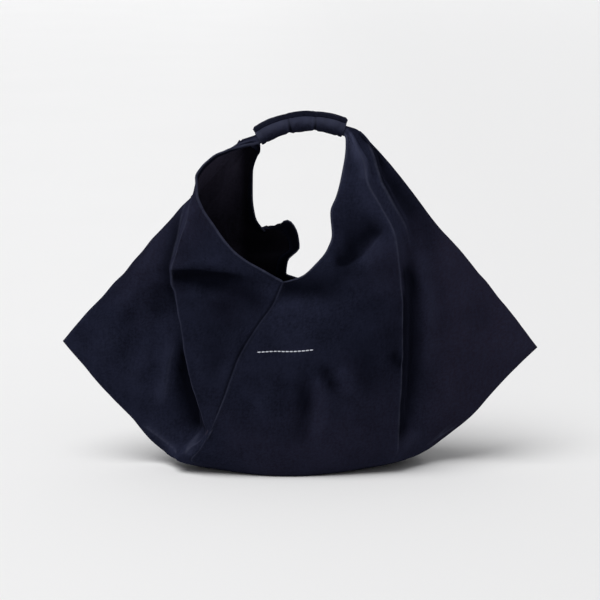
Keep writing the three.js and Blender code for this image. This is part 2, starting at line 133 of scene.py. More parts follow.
# Sections of each peak above the mouth's notch, up to the handle wrap. x is a share of the way from
# the wrap's end to the wing tip, z of the way from the front notch to the wrap's end, y of
# half_depth. f is the front rim, r and q the front fold and hollow, e the wing's edge, p and t the
# same pair behind, and b the back rim. dip is how far the cloth hangs between t and b.
PEAK_COLUMNS = "fx fy fz rx ry rz qx qy ex ez px py tx ty tz bx by bz dip"
LEFT_PEAK = table(PEAK_COLUMNS, [
    [-4, -77, 8, 42.5, -76, 9, 44.5, -35, 63.5, 9, 35.5, 34, 28, 76, -2, -14, 69, -6, 0],
    [4.5, -76.5, 15, 41, -70.5, 19, 42.5, -35, 59, 17, 34, 36, 27, 73, 6, -15, 65, 4.5, 0],
    [10.5, -75.5, 21.5, 39.5, -67, 28, 41, -34.5, 55, 25, 32.5, 37.5, 25, 71, 14, -21, 69, 14, 4],
    [16, -73, 30, 38, -64, 35, 39, -33, 50, 33, 31, 38.5, 23, 68, 23, -20, 70, 24.5, 8.5],
    [21.5, -68.5, 41, 36, -60.5, 42, 37, -31.5, 45, 41, 28.5, 39, 20, 64.5, 31.5, -15, 67.5, 34.5, 12.5],
    [27, -63.5, 52.5, 34.5, -54.5, 51, 34.5, -29, 40, 49, 25.5, 38, 16.5, 60, 40, -5, 63.5, 27, 0],
    [30, -57, 64, 32, -42, 60.5, 31.5, -22, 34.2, 57, 22, 34.5, 13, 53, 49, 1.5, 55, 38, 0],
    [30, -51, 75, 29, -34, 72, 28, -16, 27.6, 67.5, 18, 27, 11, 41, 61.5, 3, 41, 55.5, 0],
    [27, -45, 82.5, 24, -29, 82, 21.5, -13, 19, 81, 14.5, 16, 9, 24, 78, 2.5, 24, 75.5, 0],
    [19, -34, 92, 16, -21, 93, 14, -10, 11, 93, 8, 11.5, 5, 12.5, 91, 0, 12.5, 87.5, 0],
    [7.5, -19, 97, 7.5, -12.5, 99, 7, -7.5, 6, 101, 4.5, 9.5, 2, 10, 96, -1.5, 7, 92, 0],
])
RIGHT_PEAK = table(PEAK_COLUMNS, [
    [-23.5, -74.5, 3, 27.5, -77.5, 4.5, 34.5, -34, 65.5, 6, 42, 31, 40, 70, 0, -5.5, 74, -7, 0],
    [-15.5, -69, 11.5, 26.5, -76.5, 14.5, 32.0, -36, 59.5, 16, 40, 31, 34.5, 64, 11, 6, 70, 6, 0],
    [-9, -61, 22.5, 25.4, -73, 25.5, 29.2, -43, 52, 28, 37, 30, 28.5, 57, 25.5, 14.5, 63, 23, 0],
    [-6.8, -55, 32, 23.4, -67, 36, 26.8, -47, 45, 40, 33.5, 28, 26.5, 47, 38.5, 18.5, 54, 37, 0],
    [-7.5, -47.5, 46, 19.8, -60, 45.5, 23.4, -47, 38.5, 52, 30, 25, 24.5, 38, 51, 19, 45, 51.5, 0],
    [-4.8, -40, 56.5, 15.2, -50, 55.5, 19.2, -42, 31.5, 64, 26, 21, 21, 29, 63, 17.5, 36, 64.5, 0],
    [-1.8, -29, 69.5, 10.8, -40, 66.5, 15.0, -34, 24.5, 76, 20.5, 16.5, 17.5, 21, 75.5, 14.5, 27, 77, 0],
    [0, -20, 80, 9.5, -28, 78, 12.4, -24, 16.5, 87.5, 15, 12.5, 13, 15, 86, 11, 19, 86, 0],
    [1, -13, 90, 6, -18, 88.5, 8, -15, 11, 95.5, 9.5, 10, 8.2, 11, 93.5, 7, 13, 92.5, 0],
    [1.2, -10, 95, 3.5, -12, 96, 4.8, -9, 6.3, 101, 5.6, 9, 4.8, 9.5, 98, 4, 10, 96.5, 0],
])

# Where a section's corners lie round the gathered bundle, in degrees from its top to the front.
BUNDLE_ANGLES = [105, 70, 35, 0, -55, -110, -165]
BUNDLE_ROWS = 5

# Cloth lengths over which folds and edges turn
FOLD_SLACK = 0.9 * MM
FOLD_TURN = 6 * MM
RIDGE_ROUND = 2.8 * MM
INNER_ROUND = 9 * MM
FOLD_CLOSED, FOLD_OPEN = math.radians(50), math.radians(95)
BASE_ROUND = 4 * MM

# Distances from a rim or seam at which the cloth has columns, as shares of the hem's width. The
# last one is where the lining starts.
HEM_STEPS = np.array([0, 0.1, 0.2, 0.32, 0.5, 0.75, 1, 1.08])
HEM_COLUMN, LINING_COLUMN = 6, 7
STITCH_COLUMN = 5

# How many columns each stretch of a section has, and rows each stretch of the bag
Mesh = namedtuple("Mesh", "panel turn hollow hollow_turn wing ease fold body peak bundle base")
MESH = Mesh(24, 9, 4, 7, 14, 4, 11, 74, 60, 10, 12)


# Curves through rows

def pchip(knots, values, at):
    """A cubic through the rows whose slope at each is the weighted harmonic mean of the slopes on its
    two sides, and zero where the rows turn back, so that it never overshoots them."""
    h = np.diff(knots)[:, None]
    d = np.diff(values, axis=0) / h
    near, far = 2 * h[1:] + h[:-1], h[1:] + 2 * h[:-1]
    same = d[:-1] * d[1:] > 0
    safe = np.where(same, near / np.where(same, d[:-1], 1) + far / np.where(same, d[1:], 1), 1)
    slopes = np.concatenate([d[:1], np.where(same, (near + far) / safe, 0), d[-1:]])
    i = np.clip(np.searchsorted(knots, at, side="right") - 1, 0, len(knots) - 2)
    t = ((at - knots[i]) / h[i, 0])[:, None]
    return (
        (1 + 2 * t) * (1 - t) ** 2 * values[i]
        + t * (1 - t) ** 2 * h[i] * slopes[i]
        + t**2 * (3 - 2 * t) * values[i + 1]
        + t**2 * (t - 1) * h[i] * slopes[i + 1]
    )


def broken(knots, values, at, row):
    """The same curve, but with a corner at one row."""
    low = pchip(knots[: row + 1], values[: row + 1], np.minimum(at, knots[row]))
    high = pchip(knots[row:], values[row:], np.maximum(at, knots[row]))
    return np.where((at <= knots[row])[:, None], low, high)


def smoothstep(value, low, high):
    """0 below low and 1 above high, with a smooth rise between."""
    t = np.clip((value - low) / (high - low), 0, 1)
    return t * t * (3 - 2 * t)


def bell(distance, width):
    """1 at no distance, falling on both sides to about a third at the width."""
    return np.exp(-((distance / width) ** 2))


def unit(vectors):
    """Vectors of length one."""
    return vectors / np.maximum(np.linalg.norm(vectors, axis=-1, keepdims=True), 1e-12)


def points(x, y, z):
    """Points from three arrays or numbers."""
    return np.stack(np.broadcast_arrays(x, y, z), axis=-1).astype(float)


# The bag's surface

def handle_arc(sizes, share):
    """Points of the handle's middle line at shares of its length, and the ways out from its arc: a
    circle through the wrap's two ends that rises above their chord."""
    half = sizes.handle_span / 2
    left = np.array([sizes.handle_shift - half, sizes.handle_left])
    right = np.array([sizes.handle_shift + half, sizes.handle_right])
    chord = np.linalg.norm(right - left)
    along = (right - left) / chord
    up = np.array([-along[1], along[0]])
    radius = ((chord / 2) ** 2 + sizes.handle_rise**2) / (2 * sizes.handle_rise)
    turn = ((2 * np.asarray(share, float) - 1) * math.asin(chord / 2 / radius))[..., None]
    out = up * np.cos(turn) + along * np.sin(turn)
    spot = (left + right) / 2 + up * (sizes.handle_rise - radius) + out * radius
    return points(spot[..., 0], 0, spot[..., 1]), points(out[..., 0], 0, out[..., 1])


def body_corners(sizes, right):
    """The seven corners of each level section on one side, from the front seam round to the back."""
    def at(x, y, back):
        z = BODY["z"] * (sizes.front_notch + (sizes.back_notch - sizes.front_notch) * back)
        return points(x * sizes.half_width, y * sizes.half_depth, z)

    front, behind = ("r", "l") if right else ("l", "r")
    edge_z = BODY["erz" if right else "elz"] * sizes.front_notch
    edge_z[TIP_ROW] = sizes.right_tip if right else sizes.left_tip
    return np.stack([
        at(BODY["sx"], BODY["sy"], 0),
        at(BODY[front + "x"], BODY[front + "y"], 0.1),
        at(BODY[front + "qx"], BODY[front + "qy"], 0.35),
        points(BODY["er" if right else "el"] * sizes.half_width, 0, edge_z),
        at(-BODY[behind + "qx"], -BODY[behind + "qy"], 0.65),
        at(-BODY[behind + "x"], -BODY[behind + "y"], 0.9),
        at(-BODY["sx"], -BODY["sy"], 1),
    ], axis=1)


def peak_corners(sizes, right):
    """The same seven corners for the sections of one peak."""
    peak, side = (RIGHT_PEAK, 1) if right else (LEFT_PEAK, -1)
    top = sizes.handle_right if right else sizes.handle_left
    end = sizes.handle_span / 2 + side * sizes.handle_shift

    def at(x, y, z):
        x = side * (end + (sizes.half_width - end) * x)
        return points(x, y * sizes.half_depth, sizes.front_notch + (top - sizes.front_notch) * z)

    q_z = peak["rz"] + (peak["ez"] - peak["rz"]) * 0.5
    p_z = peak["ez"] + (peak["tz"] - peak["ez"]) * 0.4
    return np.stack([
        at(peak["fx"], peak["fy"], peak["fz"]),
        at(peak["rx"], peak["ry"], peak["rz"]),
        at(peak["qx"], peak["qy"], q_z),
        at(peak["ex"], 0 * peak["ex"], peak["ez"]),
        at(peak["px"], peak["py"], p_z),
        at(peak["tx"], peak["ty"], peak["tz"]),
        at(peak["bx"], peak["by"], peak["bz"]),
    ], axis=1)


def fold_insets(edges, side, radius):
    """The way into the cloth from a wing's edge at each row: square to the edge line, in the XZ plane,
    and as long as the fold's radius needs at that bend. The last edge point only gives direction."""
    along = unit(np.diff(edges, axis=0))
    square = points(-along[:, 2], 0, along[:, 0])
    before = np.concatenate([square[:1], square[:-1]])
    middle = unit(before + square)
    stretch = np.maximum(0.6, np.sum(middle * before, axis=1, keepdims=True))
    insets = middle / stretch * radius * side
    insets[0] = [-side * radius, 0, 0]
    return insets


def rounded(start, corner, stop, shares):
    """Points on the parabola that rounds a corner from start to stop, at shares of the way."""
    s = shares[:, None]
    one = start[:, None] * (1 - s) + corner[:, None] * s
    two = corner[:, None] * (1 - s) + stop[:, None] * s
    return one * (1 - s) + two * s


def reach(corner, end, length=RIDGE_ROUND):
    """The share of the way from a corner to the next at which its rounded turn ends."""
    return np.minimum(length / np.linalg.norm(corner - end, axis=1), 0.4)


def turned(before, corner, after, count, length=RIDGE_ROUND):
    """A rounded turn at a corner."""
    start = corner + (before - corner) * reach(corner, before, length)[:, None]
    stop = corner + (after - corner) * reach(corner, after, length)[:, None]
    return rounded(start, corner, stop, np.linspace(0, 1, count))


def between(low, high, count):
    """Count values between low and high at each row, without the two ends."""
    steps = np.linspace(0, 1, count + 2)[1:-1]
    return low[:, None] + (high - low)[:, None] * steps


def straight(start, stop, shares, out=0, dip=0):
    """Cloth between two corners: the straight line, and a parabola's height out to the side and down."""
    side = unit(np.cross(stop - start, [0, 0, 1])) * np.reshape(out, (-1, 1))
    side[:, 2] = -np.broadcast_to(dip, len(side))
    s = shares[..., None]
    return start[:, None] * (1 - s) + stop[:, None] * s + side[:, None] * (4 * s * (1 - s))


def fold_points(q, e, p, insets, radius, count):
    """The wing's edge: a half round fold where the cloth lies flat together, that opens to a rounded
    corner where its two sides stand apart."""
    def near(corner, most):
        length = np.linalg.norm(corner - e, axis=1)
        return e + (corner - e) * np.minimum(most, FOLD_TURN / length)[:, None]

    angle = np.arccos(np.clip(np.sum(unit(q - e) * unit(p - e), axis=1), -1, 1))
    open_ = smoothstep(angle, FOLD_CLOSED, FOLD_OPEN)[:, None, None]
    turn = np.linspace(0, math.pi, count)[:, None]
    round_ = e[:, None] + insets[:, None] * (1 - np.sin(turn)) + np.array([0, -radius, 0]) * np.cos(turn)
    corner = rounded(near(q, 0.25), e, near(p, 0.2), np.linspace(0, 1, count))
    return round_ * (1 - open_) + corner * open_


def section_columns():
    """For each column of a section, how far it lies past the seven corners, from 0 to 6."""
    def inner(low, high, count):
        return np.linspace(low, high, count + 2)[1:-1]

    hem = HEM_STEPS * 0.2
    return np.concatenate([
        hem, inner(hem[-1], 0.9, MESH.panel), np.linspace(0.9, 1.1, MESH.turn),
        inner(1.1, 1.85, MESH.hollow), np.linspace(1.85, 2.15, MESH.hollow_turn),
        inner(2.15, 2.65, MESH.wing), inner(2.65, 2.8, MESH.ease), np.linspace(2.8, 3.2, MESH.fold),
        inner(3.2, 3.35, MESH.ease), inner(3.35, 3.85, MESH.wing),
        np.linspace(3.85, 4.15, MESH.hollow_turn), inner(4.15, 4.9, MESH.hollow),
        np.linspace(4.9, 5.1, MESH.turn), inner(5.1, 6 - hem[-1], MESH.panel), 6 - hem[::-1],
    ])


COLUMNS = section_columns()


def section_points(corners, insets, radius, sizes, front, back, dip, ridge):
    """Points along each section in step with section_columns: straight cloth between corners, with
    rounded turns at them, from ridge to ridge away at the sharp folds, and a fold at the wing's edge."""
    f, r, q, e, p, t, b = np.moveaxis(corners, 1, 0)

    def hem(rim, corner):
        share = np.minimum(0.25, sizes.hem / np.linalg.norm(rim - corner, axis=1))
        return share[:, None] * HEM_STEPS

    def eased(outer, share, fold_end):
        start = e + (outer - e) * share
        return start[:, None] + (fold_end - start)[:, None] * np.linspace(0, 1, MESH.ease + 2)[1:-1, None]

    fold = fold_points(q, e, p, insets, radius, MESH.fold)
    front_hem, back_hem = hem(f, r), hem(b, t)
    quarter = np.full(len(f), 0.25)
    return np.concatenate([
        straight(f, r, front_hem, front),
        straight(f, r, between(front_hem[:, -1], 1 - reach(r, f, ridge), MESH.panel), front),
        turned(f, r, q, MESH.turn, ridge),
        straight(r, q, between(reach(r, q, ridge), 1 - reach(q, r), MESH.hollow)),
        turned(r, q, e, MESH.hollow_turn),
        straight(q, e, between(reach(q, e), 1 - quarter, MESH.wing)),
        eased(q, 0.25, fold[:, 0]),
        fold,
        eased(p, 0.25, fold[:, -1])[:, ::-1],
        straight(e, p, between(quarter, 1 - reach(p, e), MESH.wing)),
        turned(e, p, t, MESH.hollow_turn),
        straight(p, t, between(reach(p, t), 1 - reach(t, p, ridge), MESH.hollow)),
        turned(p, t, b, MESH.turn, ridge),
        straight(t, b, between(reach(t, b, ridge), 1 - back_hem[:, -1], MESH.panel), back, dip),
        straight(t, b, 1 - back_hem[:, ::-1], back, dip),
    ], axis=1)


def bundle_points(sizes, right):
    """Rings round the gathered bundle from the wrap's end to the handle's middle."""
    share = np.linspace(0, 0.5, BUNDLE_ROWS)
    spot, out = handle_arc(sizes, 1 - share if right else share)
    angle = np.radians(np.interp(COLUMNS, range(7), BUNDLE_ANGLES))[:, None]
    across = np.array([0, -1, 0]) * np.sin(angle)
    return spot[:, None] + sizes.bundle_radius * (out[:, None] * np.cos(angle) + across)


def side_grid(sizes, right, ridge):
    """One side of the bag as a grid of points, rows from the base to the handle's middle and columns
    from the front seam round the wing to the back. The sections above are its key rows, and cubics
    run through them, with corners kept at the wing tip and at the notches. Returns the grid and how
    far each row lies past the notch, in metres along the cloth."""
    side = 1 if right else -1
    peak = RIGHT_PEAK if right else LEFT_PEAK
    radius = sizes.cloth + sizes.gap + sizes.lining + FOLD_SLACK
    corners = np.concatenate([body_corners(sizes, right), peak_corners(sizes, right)])
    spot, out = handle_arc(sizes, 1.0 if right else 0.0)
    edges = np.concatenate([corners[:, 3], (spot + out * sizes.bundle_radius)[None]])
    flat = np.zeros(len(peak["fx"]))
    belly = np.concatenate([BODY["belly"] * sizes.half_depth, flat]) * side
    dip = np.concatenate([0 * BODY["z"], peak["dip"] * (sizes.handle_left - sizes.front_notch)])
    front, back = (belly, 0 * belly) if right else (0 * belly, belly)
    insets = fold_insets(edges, side, radius)
    keys = np.concatenate([
        section_points(corners, insets, radius, sizes, front, back, dip, ridge),
        bundle_points(sizes, right),
    ])
    steps = np.mean(np.linalg.norm(np.diff(keys, axis=0), axis=2), axis=1)
    steps[:NOTCH_ROW] = np.diff(BODY["z"] * sizes.front_notch)
    knots = np.concatenate([[0], np.cumsum(steps)])
    first_ring = len(keys) - BUNDLE_ROWS
    at = np.concatenate([
        np.linspace(0, knots[NOTCH_ROW], MESH.body),
        np.linspace(knots[NOTCH_ROW], knots[first_ring], MESH.peak + 1)[1:],
        np.linspace(knots[first_ring], knots[-1], MESH.bundle + 1)[1:],
    ])
    flat_keys = keys.reshape(len(keys), -1)
    smooth = pchip(knots, flat_keys, at).reshape(len(at), -1, 3)
    tipped = broken(knots, flat_keys, at, TIP_ROW).reshape(smooth.shape)
    notched = broken(knots, flat_keys, at, NOTCH_ROW).reshape(smooth.shape)
    near_edge = 1 - smoothstep(abs(COLUMNS - 3), 0.2, 0.6)[:, None]
    near_rim = 1 - smoothstep(np.minimum(COLUMNS, 6 - COLUMNS), 0, 0.3)[:, None]
    grid = smooth + (tipped - smooth) * near_edge + (notched - smooth) * near_rim
    return grid, at - knots[NOTCH_ROW], knots[first_ring] - knots[NOTCH_ROW]


# Folds, creases and seams, as heights along the cloth's normals

Fold = namedtuple("Fold", "path width rise part fade side", defaults=(0,))

# Folds seen from the front or the back, as heights along the normals. A path's points are x and z in
# millimetres, width is how far from the path the height falls to a third, rise is the height (below
# zero it is a hollow), part is the stretch of the section that carries it, by its corners, and fade
# is the share of the path over which it grows in and dies out at the ends, or a pair of them. side 1
# keeps only what lies left of the path's way on, and -1 only what lies right of it.
WHOLE_FRONT, FRONT_PANEL, FRONT_WING = (0, 3), (0, 1.6), (1.4, 3)
WHOLE_BACK, BACK_PANEL, BACK_WING = (3, 6), (4.4, 6), (3, 4.6)
RIGHT_FOLDS = [
    # The fan of folds that runs down from the handle: two ridges, the groove between them, and the
    # shaded cloth along the wing's upper edge
    Fold([(68, 368), (71, 350), (72, 318), (76, 302)], 3.6, 2.2, FRONT_PANEL, 0.25),
    Fold([(74, 366), (80, 342), (87, 318), (100, 292), (111, 273), (122, 240)], 4.2, 3.0, WHOLE_FRONT, 0.2),
    Fold([(74, 352), (79, 328), (86, 302), (96, 283)], 2.6, -1.4, WHOLE_FRONT, 0.3),
    Fold([(71, 350), (72, 317), (79, 298), (89, 282), (99, 267), (105, 246)], 2.4, 1.2, WHOLE_FRONT, 0.15),
    Fold([(84, 352), (98, 318), (114, 292), (130, 266)], 7.0, -3.6, FRONT_WING, 0.25),
    Fold([(60, 352), (58, 322), (54, 290)], 5.0, -1.6, FRONT_PANEL, 0.35),
    Fold([(50, 346), (46, 310), (42, 280)], 5.0, 1.2, FRONT_PANEL, 0.35),
    # The hollow below the fan, deepest by the ridge, and the swell with its slanting upper side
    Fold([(40, 244), (58, 254), (76, 267), (92, 278)], 12.0, -1.8, FRONT_PANEL, 0.3),
    Fold([(92, 268), (82, 254), (68, 236), (52, 220)], 10.0, 3.2, FRONT_PANEL, 0.3),
    # The full belly: an arch above, a shaded strip over it, a low fold down the middle and dents
    Fold([(-40, 196), (-14, 206), (18, 204), (40, 192)], 8.0, -2.2, FRONT_PANEL, 0.35),
    Fold([(-46, 168), (-34, 182), (-12, 190), (14, 190), (27, 180), (36, 158)], 9.0, 3.0, FRONT_PANEL, 0.3),
    Fold([(17, 126), (23, 99), (21, 60), (17, 28)], 7.0, 2.8, FRONT_PANEL, 0.3),
    Fold([(3, 122), (6, 90), (3, 50), (1, 22)], 8.0, -2.2, FRONT_PANEL, 0.3),
    Fold([(25, 130), (31, 112), (37, 97)], 6.0, -2.0, FRONT_PANEL, 0.3),
    Fold([(37, 128), (48, 110), (54, 88)], 8.0, 2.4, FRONT_PANEL, 0.3),
    Fold([(62, 146), (68, 120), (70, 84)], 9.0, -1.8, FRONT_PANEL, 0.35),
    Fold([(84, 190), (88, 150), (86, 104)], 9.0, 1.6, FRONT_PANEL, 0.35),
    Fold([(-30, 118), (-38, 90), (-52, 58)], 9.0, 1.8, FRONT_PANEL, 0.35),
    Fold([(-14, 120), (-18, 92), (-26, 60)], 7.0, -1.5, FRONT_PANEL, 0.35),
    # The pinch at the side, the shaded valley beside the ridge and the long soft folds of the wing
    Fold([(96, 143), (104, 131), (111, 116)], 5.0, -1.8, WHOLE_FRONT, 0.3),
    Fold([(116, 250), (119, 205), (121, 150), (120, 90), (116, 40)], 6.0, -4.0, FRONT_WING, 0.2),
    Fold([(124, 252), (134, 214), (140, 160), (136, 96)], 8.0, 3.2, FRONT_WING, 0.25),
    Fold([(146, 262), (166, 214), (184, 160)], 12.0, 2.6, FRONT_WING, 0.3),
    Fold([(136, 236), (152, 190), (160, 130)], 8.0, -2.4, FRONT_WING, 0.3),
    Fold([(182, 206), (202, 168), (214, 130)], 12.0, -2.0, FRONT_WING, 0.35),
    Fold([(104, 64), (118, 44), (138, 30)], 6.0, 2.4, FRONT_WING, 0.3),
    Fold([(150, 104), (166, 78), (176, 62)], 9.0, 1.8, FRONT_WING, 0.35),
]
LEFT_FOLDS = [
    # The crease under the hood and the swells above and below it
    Fold([(-140, 217), (-112, 220), (-78, 220), (-40, 214)], 5.5, -4.2, FRONT_PANEL, (0.12, 0.75)),
    Fold([(-134, 232), (-106, 235), (-74, 234)], 6.0, 2.6, FRONT_PANEL, 0.3),
    Fold([(-132, 200), (-104, 198), (-66, 200)], 7.0, 2.2, FRONT_PANEL, 0.3),
    Fold([(-124, 292), (-104, 266), (-84, 246)], 7.0, -1.6, FRONT_PANEL, 0.35),
    Fold([(-66, 206), (-50, 196), (-38, 184)], 7.0, -1.6, FRONT_PANEL, 0.35),
    # Soft drapes of the lower front and the small facet beside the seam
    Fold([(-116, 176), (-108, 130), (-108, 92)], 8.0, 1.8, FRONT_PANEL, 0.35),
    Fold([(-92, 176), (-88, 140), (-94, 96)], 8.0, -1.6, FRONT_PANEL, 0.35),
    Fold([(-66, 168), (-74, 130), (-86, 92)], 8.0, 1.4, FRONT_PANEL, 0.35),
    Fold([(-103, 58), (-110, 40), (-120, 22)], 3.0, -2.4, FRONT_PANEL, 0.25),
    Fold([(-112, 50), (-118, 36), (-126, 22)], 3.5, 1.8, FRONT_PANEL, 0.25),
    # The wing: a shaded wedge by the ridge, a soft ridge beside it and long folds towards the tip
    Fold([(-122, 150), (-126, 110), (-126, 70), (-120, 40)], 6.5, -4.0, FRONT_WING, 0.25),
    Fold([(-134, 160), (-145, 112), (-154, 58)], 7.5, 4.0, FRONT_WING, 0.25),
    Fold([(-152, 210), (-158, 180), (-150, 150)], 8.0, -2.6, FRONT_WING, 0.35),
    Fold([(-150, 250), (-180, 200), (-214, 156)], 10.0, 2.4, FRONT_WING, 0.3),
    Fold([(-172, 196), (-186, 150), (-190, 100)], 11.0, -2.4, FRONT_WING, 0.3),
    Fold([(-170, 128), (-180, 96), (-176, 66)], 9.0, 1.8, FRONT_WING, 0.35),
]
LEFT_BACK_FOLDS = [
    # Soft upright folds inside the open peak
    Fold([(-108, 346), (-104, 300), (-102, 240)], 5.0, 2.0, WHOLE_BACK, 0.25),
    Fold([(-94, 352), (-91, 300), (-90, 232)], 4.5, -2.2, WHOLE_BACK, 0.25),
    Fold([(-80, 352), (-79, 300), (-80, 236)], 4.5, 2.2, WHOLE_BACK, 0.25),
    Fold([(-66, 350), (-66, 300), (-68, 236)], 4.5, -2.4, WHOLE_BACK, 0.25),
    Fold([(-60, 215), (-40, 190), (-10, 176)], 9.0, 2.6, BACK_PANEL, 0.35),
    Fold([(-20, 150), (-24, 100), (-20, 40)], 9.0, 2.8, BACK_PANEL, 0.3),
    Fold([(-4, 128), (-6, 90), (-2, 36)], 7.0, -2.4, BACK_PANEL, 0.3),
    Fold([(20, 122), (30, 92), (44, 58)], 9.0, 1.8, BACK_PANEL, 0.35),
    Fold([(-120, 150), (-122, 110), (-118, 60)], 6.5, -3.4, BACK_WING, 0.3),
    Fold([(-132, 232), (-146, 170), (-142, 100)], 9.0, 2.8, BACK_WING, 0.3),
    Fold([(-160, 240), (-180, 180), (-186, 120)], 12.0, -2.2, BACK_WING, 0.3),
]
RIGHT_BACK_FOLDS = [
    Fold([(138, 212), (106, 216), (76, 212)], 5.5, -3.6, BACK_PANEL, 0.25),
    Fold([(132, 230), (104, 232), (76, 230)], 6.0, 2.2, BACK_PANEL, 0.3),
    Fold([(74, 352), (88, 310), (100, 270)], 5.0, 2.4, WHOLE_BACK, 0.3),
    Fold([(62, 346), (66, 300), (72, 262)], 5.0, -2.0, BACK_PANEL, 0.3),
    Fold([(108, 170), (104, 128), (112, 84)], 9.0, 1.9, BACK_PANEL, 0.35),
    Fold([(86, 176), (84, 138), (92, 96)], 8.0, -1.6, BACK_PANEL, 0.35),
    Fold([(126, 150), (130, 100), (124, 52)], 7.0, -3.2, BACK_WING, 0.3),
    Fold([(150, 196), (160, 140), (152, 76)], 9.0, 2.8, BACK_WING, 0.3),
    Fold([(160, 240), (196, 178), (220, 142)], 12.0, 2.0, BACK_WING, 0.35),
]


# Painted shading, on the same kind of paths: rise is the tone, below zero painted shade where the
# cloth lies in a hollow or beside a ridge, above zero a painted highlight where it stands out.
BESIDE_RIDGE = (1.08, 3)
RIGHT_PAINTED_SHADING = [
    Fold([(107, 238), (111.4, 208), (110.5, 170), (109, 113), (107.5, 72), (103, 32)],
         13.0, -1.45, (0.97, 3), 0.12, 1),
    Fold([(126, 238), (130, 160), (124, 70)], 13.0, -0.30, BESIDE_RIDGE, 0.25),
    Fold([(73, 360), (80, 337), (87, 313), (100, 289), (111, 270), (122, 236)],
         13.0, -1.1, (1.3, 3), (0.1, 0.6), 1),
    Fold([(96, 334), (124, 296), (146, 250), (152, 220)], 12.0, -0.45, FRONT_WING, (0.2, 0.5)),
    Fold([(38, 258), (58, 268), (82, 286)], 22.0, -0.42, FRONT_PANEL, 0.3),
    Fold([(95, 277), (80, 258), (65, 240), (50, 232), (34, 230)], 17.0, -0.46, (0, 1.02), (0.25, 0.10), -1),
    Fold([(30, 232), (52, 236), (66, 246)], 14.0, -0.35, FRONT_PANEL, 0.35),
    Fold([(-50, 204), (-14, 212), (30, 213), (66, 208)], 16.0, -0.50, FRONT_PANEL, 0.25),
    Fold([(76, 180), (80, 130), (76, 80)], 26.0, -0.25, FRONT_PANEL, 0.3),
    Fold([(-36, 166), (-8, 172), (24, 162)], 17.0, 0.40, FRONT_PANEL, 0.35),
    Fold([(-20, 110), (-24, 84), (-30, 52)], 16.0, 0.25, FRONT_PANEL, 0.35),
    Fold([(22, 132), (30, 112), (40, 94)], 8.0, -0.42, FRONT_PANEL, 0.35),
    Fold([(38, 128), (50, 108), (58, 84)], 10.0, 0.30, FRONT_PANEL, 0.35),
    Fold([(3, 124), (5, 90), (1, 34)], 9.0, -0.34, FRONT_PANEL, 0.3),
    Fold([(18, 122), (23, 84), (18, 40)], 8.0, 0.28, FRONT_PANEL, 0.3),
    Fold([(63, 357), (68, 335), (70, 314)], 6.5, 1.3, FRONT_PANEL, 0.25),
    Fold([(52, 368), (56, 359), (60, 346), (63, 330)], 5.0, 3.6, FRONT_PANEL, (0.1, 0.75)),
    Fold([(90, 262), (78, 244), (66, 226)], 9.0, 0.40, FRONT_PANEL, 0.3),
    Fold([(96, 142), (104, 130), (111, 116)], 7.0, -0.40, (0.5, 1.7), 0.35),
    Fold([(132, 246), (142, 208), (146, 150)], 9.0, 0.45, FRONT_WING, 0.25),
    Fold([(126, 48), (112, 24)], 8.0, 0.5, FRONT_WING, 0.3),
]
LEFT_PAINTED_SHADING = [
    Fold([(-142, 226), (-112, 226), (-72, 223), (-30, 212)], 14.0, -1.05, (0, 1.03), (0.02, 0.85), -1),
    Fold([(-120, 212), (-84, 208), (-54, 204), (-38, 200)], 11.0, -0.35, FRONT_PANEL, (0.3, 0.4)),
    Fold([(-131, 168), (-123, 124), (-107.4, 63), (-103, 40)], 17.0, -1.35, (0.97, 3), (0.45, 0.12), -1),
    Fold([(-119, 305), (-129, 270), (-141, 224), (-140, 211), (-131, 160)], 11.0, -0.75, (0.97, 3), 0.3, -1),
    Fold([(-150, 214), (-152, 182), (-158, 160)], 10.0, -0.30, BESIDE_RIDGE, 0.35),
    Fold([(-133, 152), (-144, 112), (-153, 60)], 8.0, 0.65, FRONT_WING, 0.25),
    Fold([(-120, 300), (-126, 284), (-132, 262)], 9.0, 0.5, FRONT_PANEL, 0.3),
    Fold([(-106, 53), (-114, 38), (-124, 20)], 3.4, 1.1, FRONT_PANEL, 0.15),
    Fold([(-30, 204), (-60, 190), (-96, 184)], 14.0, -0.3, FRONT_PANEL, 0.35),
    Fold([(-90, 160), (-96, 120), (-100, 90)], 22.0, -0.15, FRONT_PANEL, 0.35),
    Fold([(-172, 48), (-150, 30), (-128, 14)], 4.0, 0.9, (2.0, 3), 0.2),
]

# Thin painted highlights along crests, or below zero thin painted shade along creases; rise is the
# strength here, and width isn't used.
RIGHT_PAINTED_LINES = [
    Fold([(73, 360), (80, 337), (87, 313), (100, 289), (111, 270), (122, 236)],
         0, 0.75, (1.2, 3), (0.05, 0.5)),
    Fold([(91, 269), (78, 252), (64, 236)], 0, 0.16, FRONT_PANEL, 0.4),
    Fold([(172, 50), (150, 32), (130, 18)], 0, 0.35, FRONT_WING, 0.3),
    Fold([(28, 118), (33, 104), (34, 88)], 0, -0.35, FRONT_PANEL, 0.4),
    Fold([(8, 118), (10, 92), (7, 62)], 0, -0.22, FRONT_PANEL, 0.4),
]
LEFT_PAINTED_LINES = [
    Fold([(-106.5, 54), (-114, 39), (-125.6, 22)], 0, 0.75, FRONT_PANEL, 0.2),
    Fold([(-139, 226), (-104, 225.5), (-66, 220)], 0, -0.6, FRONT_PANEL, (0.05, 0.6)),
    Fold([(-176, 46), (-150, 29), (-126, 14)], 0, 0.85, (1.4, 3.4), 0.2),
    Fold([(-119, 306), (-129, 270), (-140, 228)], 0, 0.55, WHOLE_FRONT, 0.15),
    Fold([(-133, 152), (-143, 112), (-150, 64)], 0, 0.20, FRONT_WING, 0.35),
]


def turned_round(folds):
    """The same folds on the back of the other side, as the back is the front turned half round."""
    return [
        f._replace(path=[(-x, z) for x, z in f.path], part=(6 - f.part[1], 6 - f.part[0]), side=-f.side)
        for f in folds
    ]
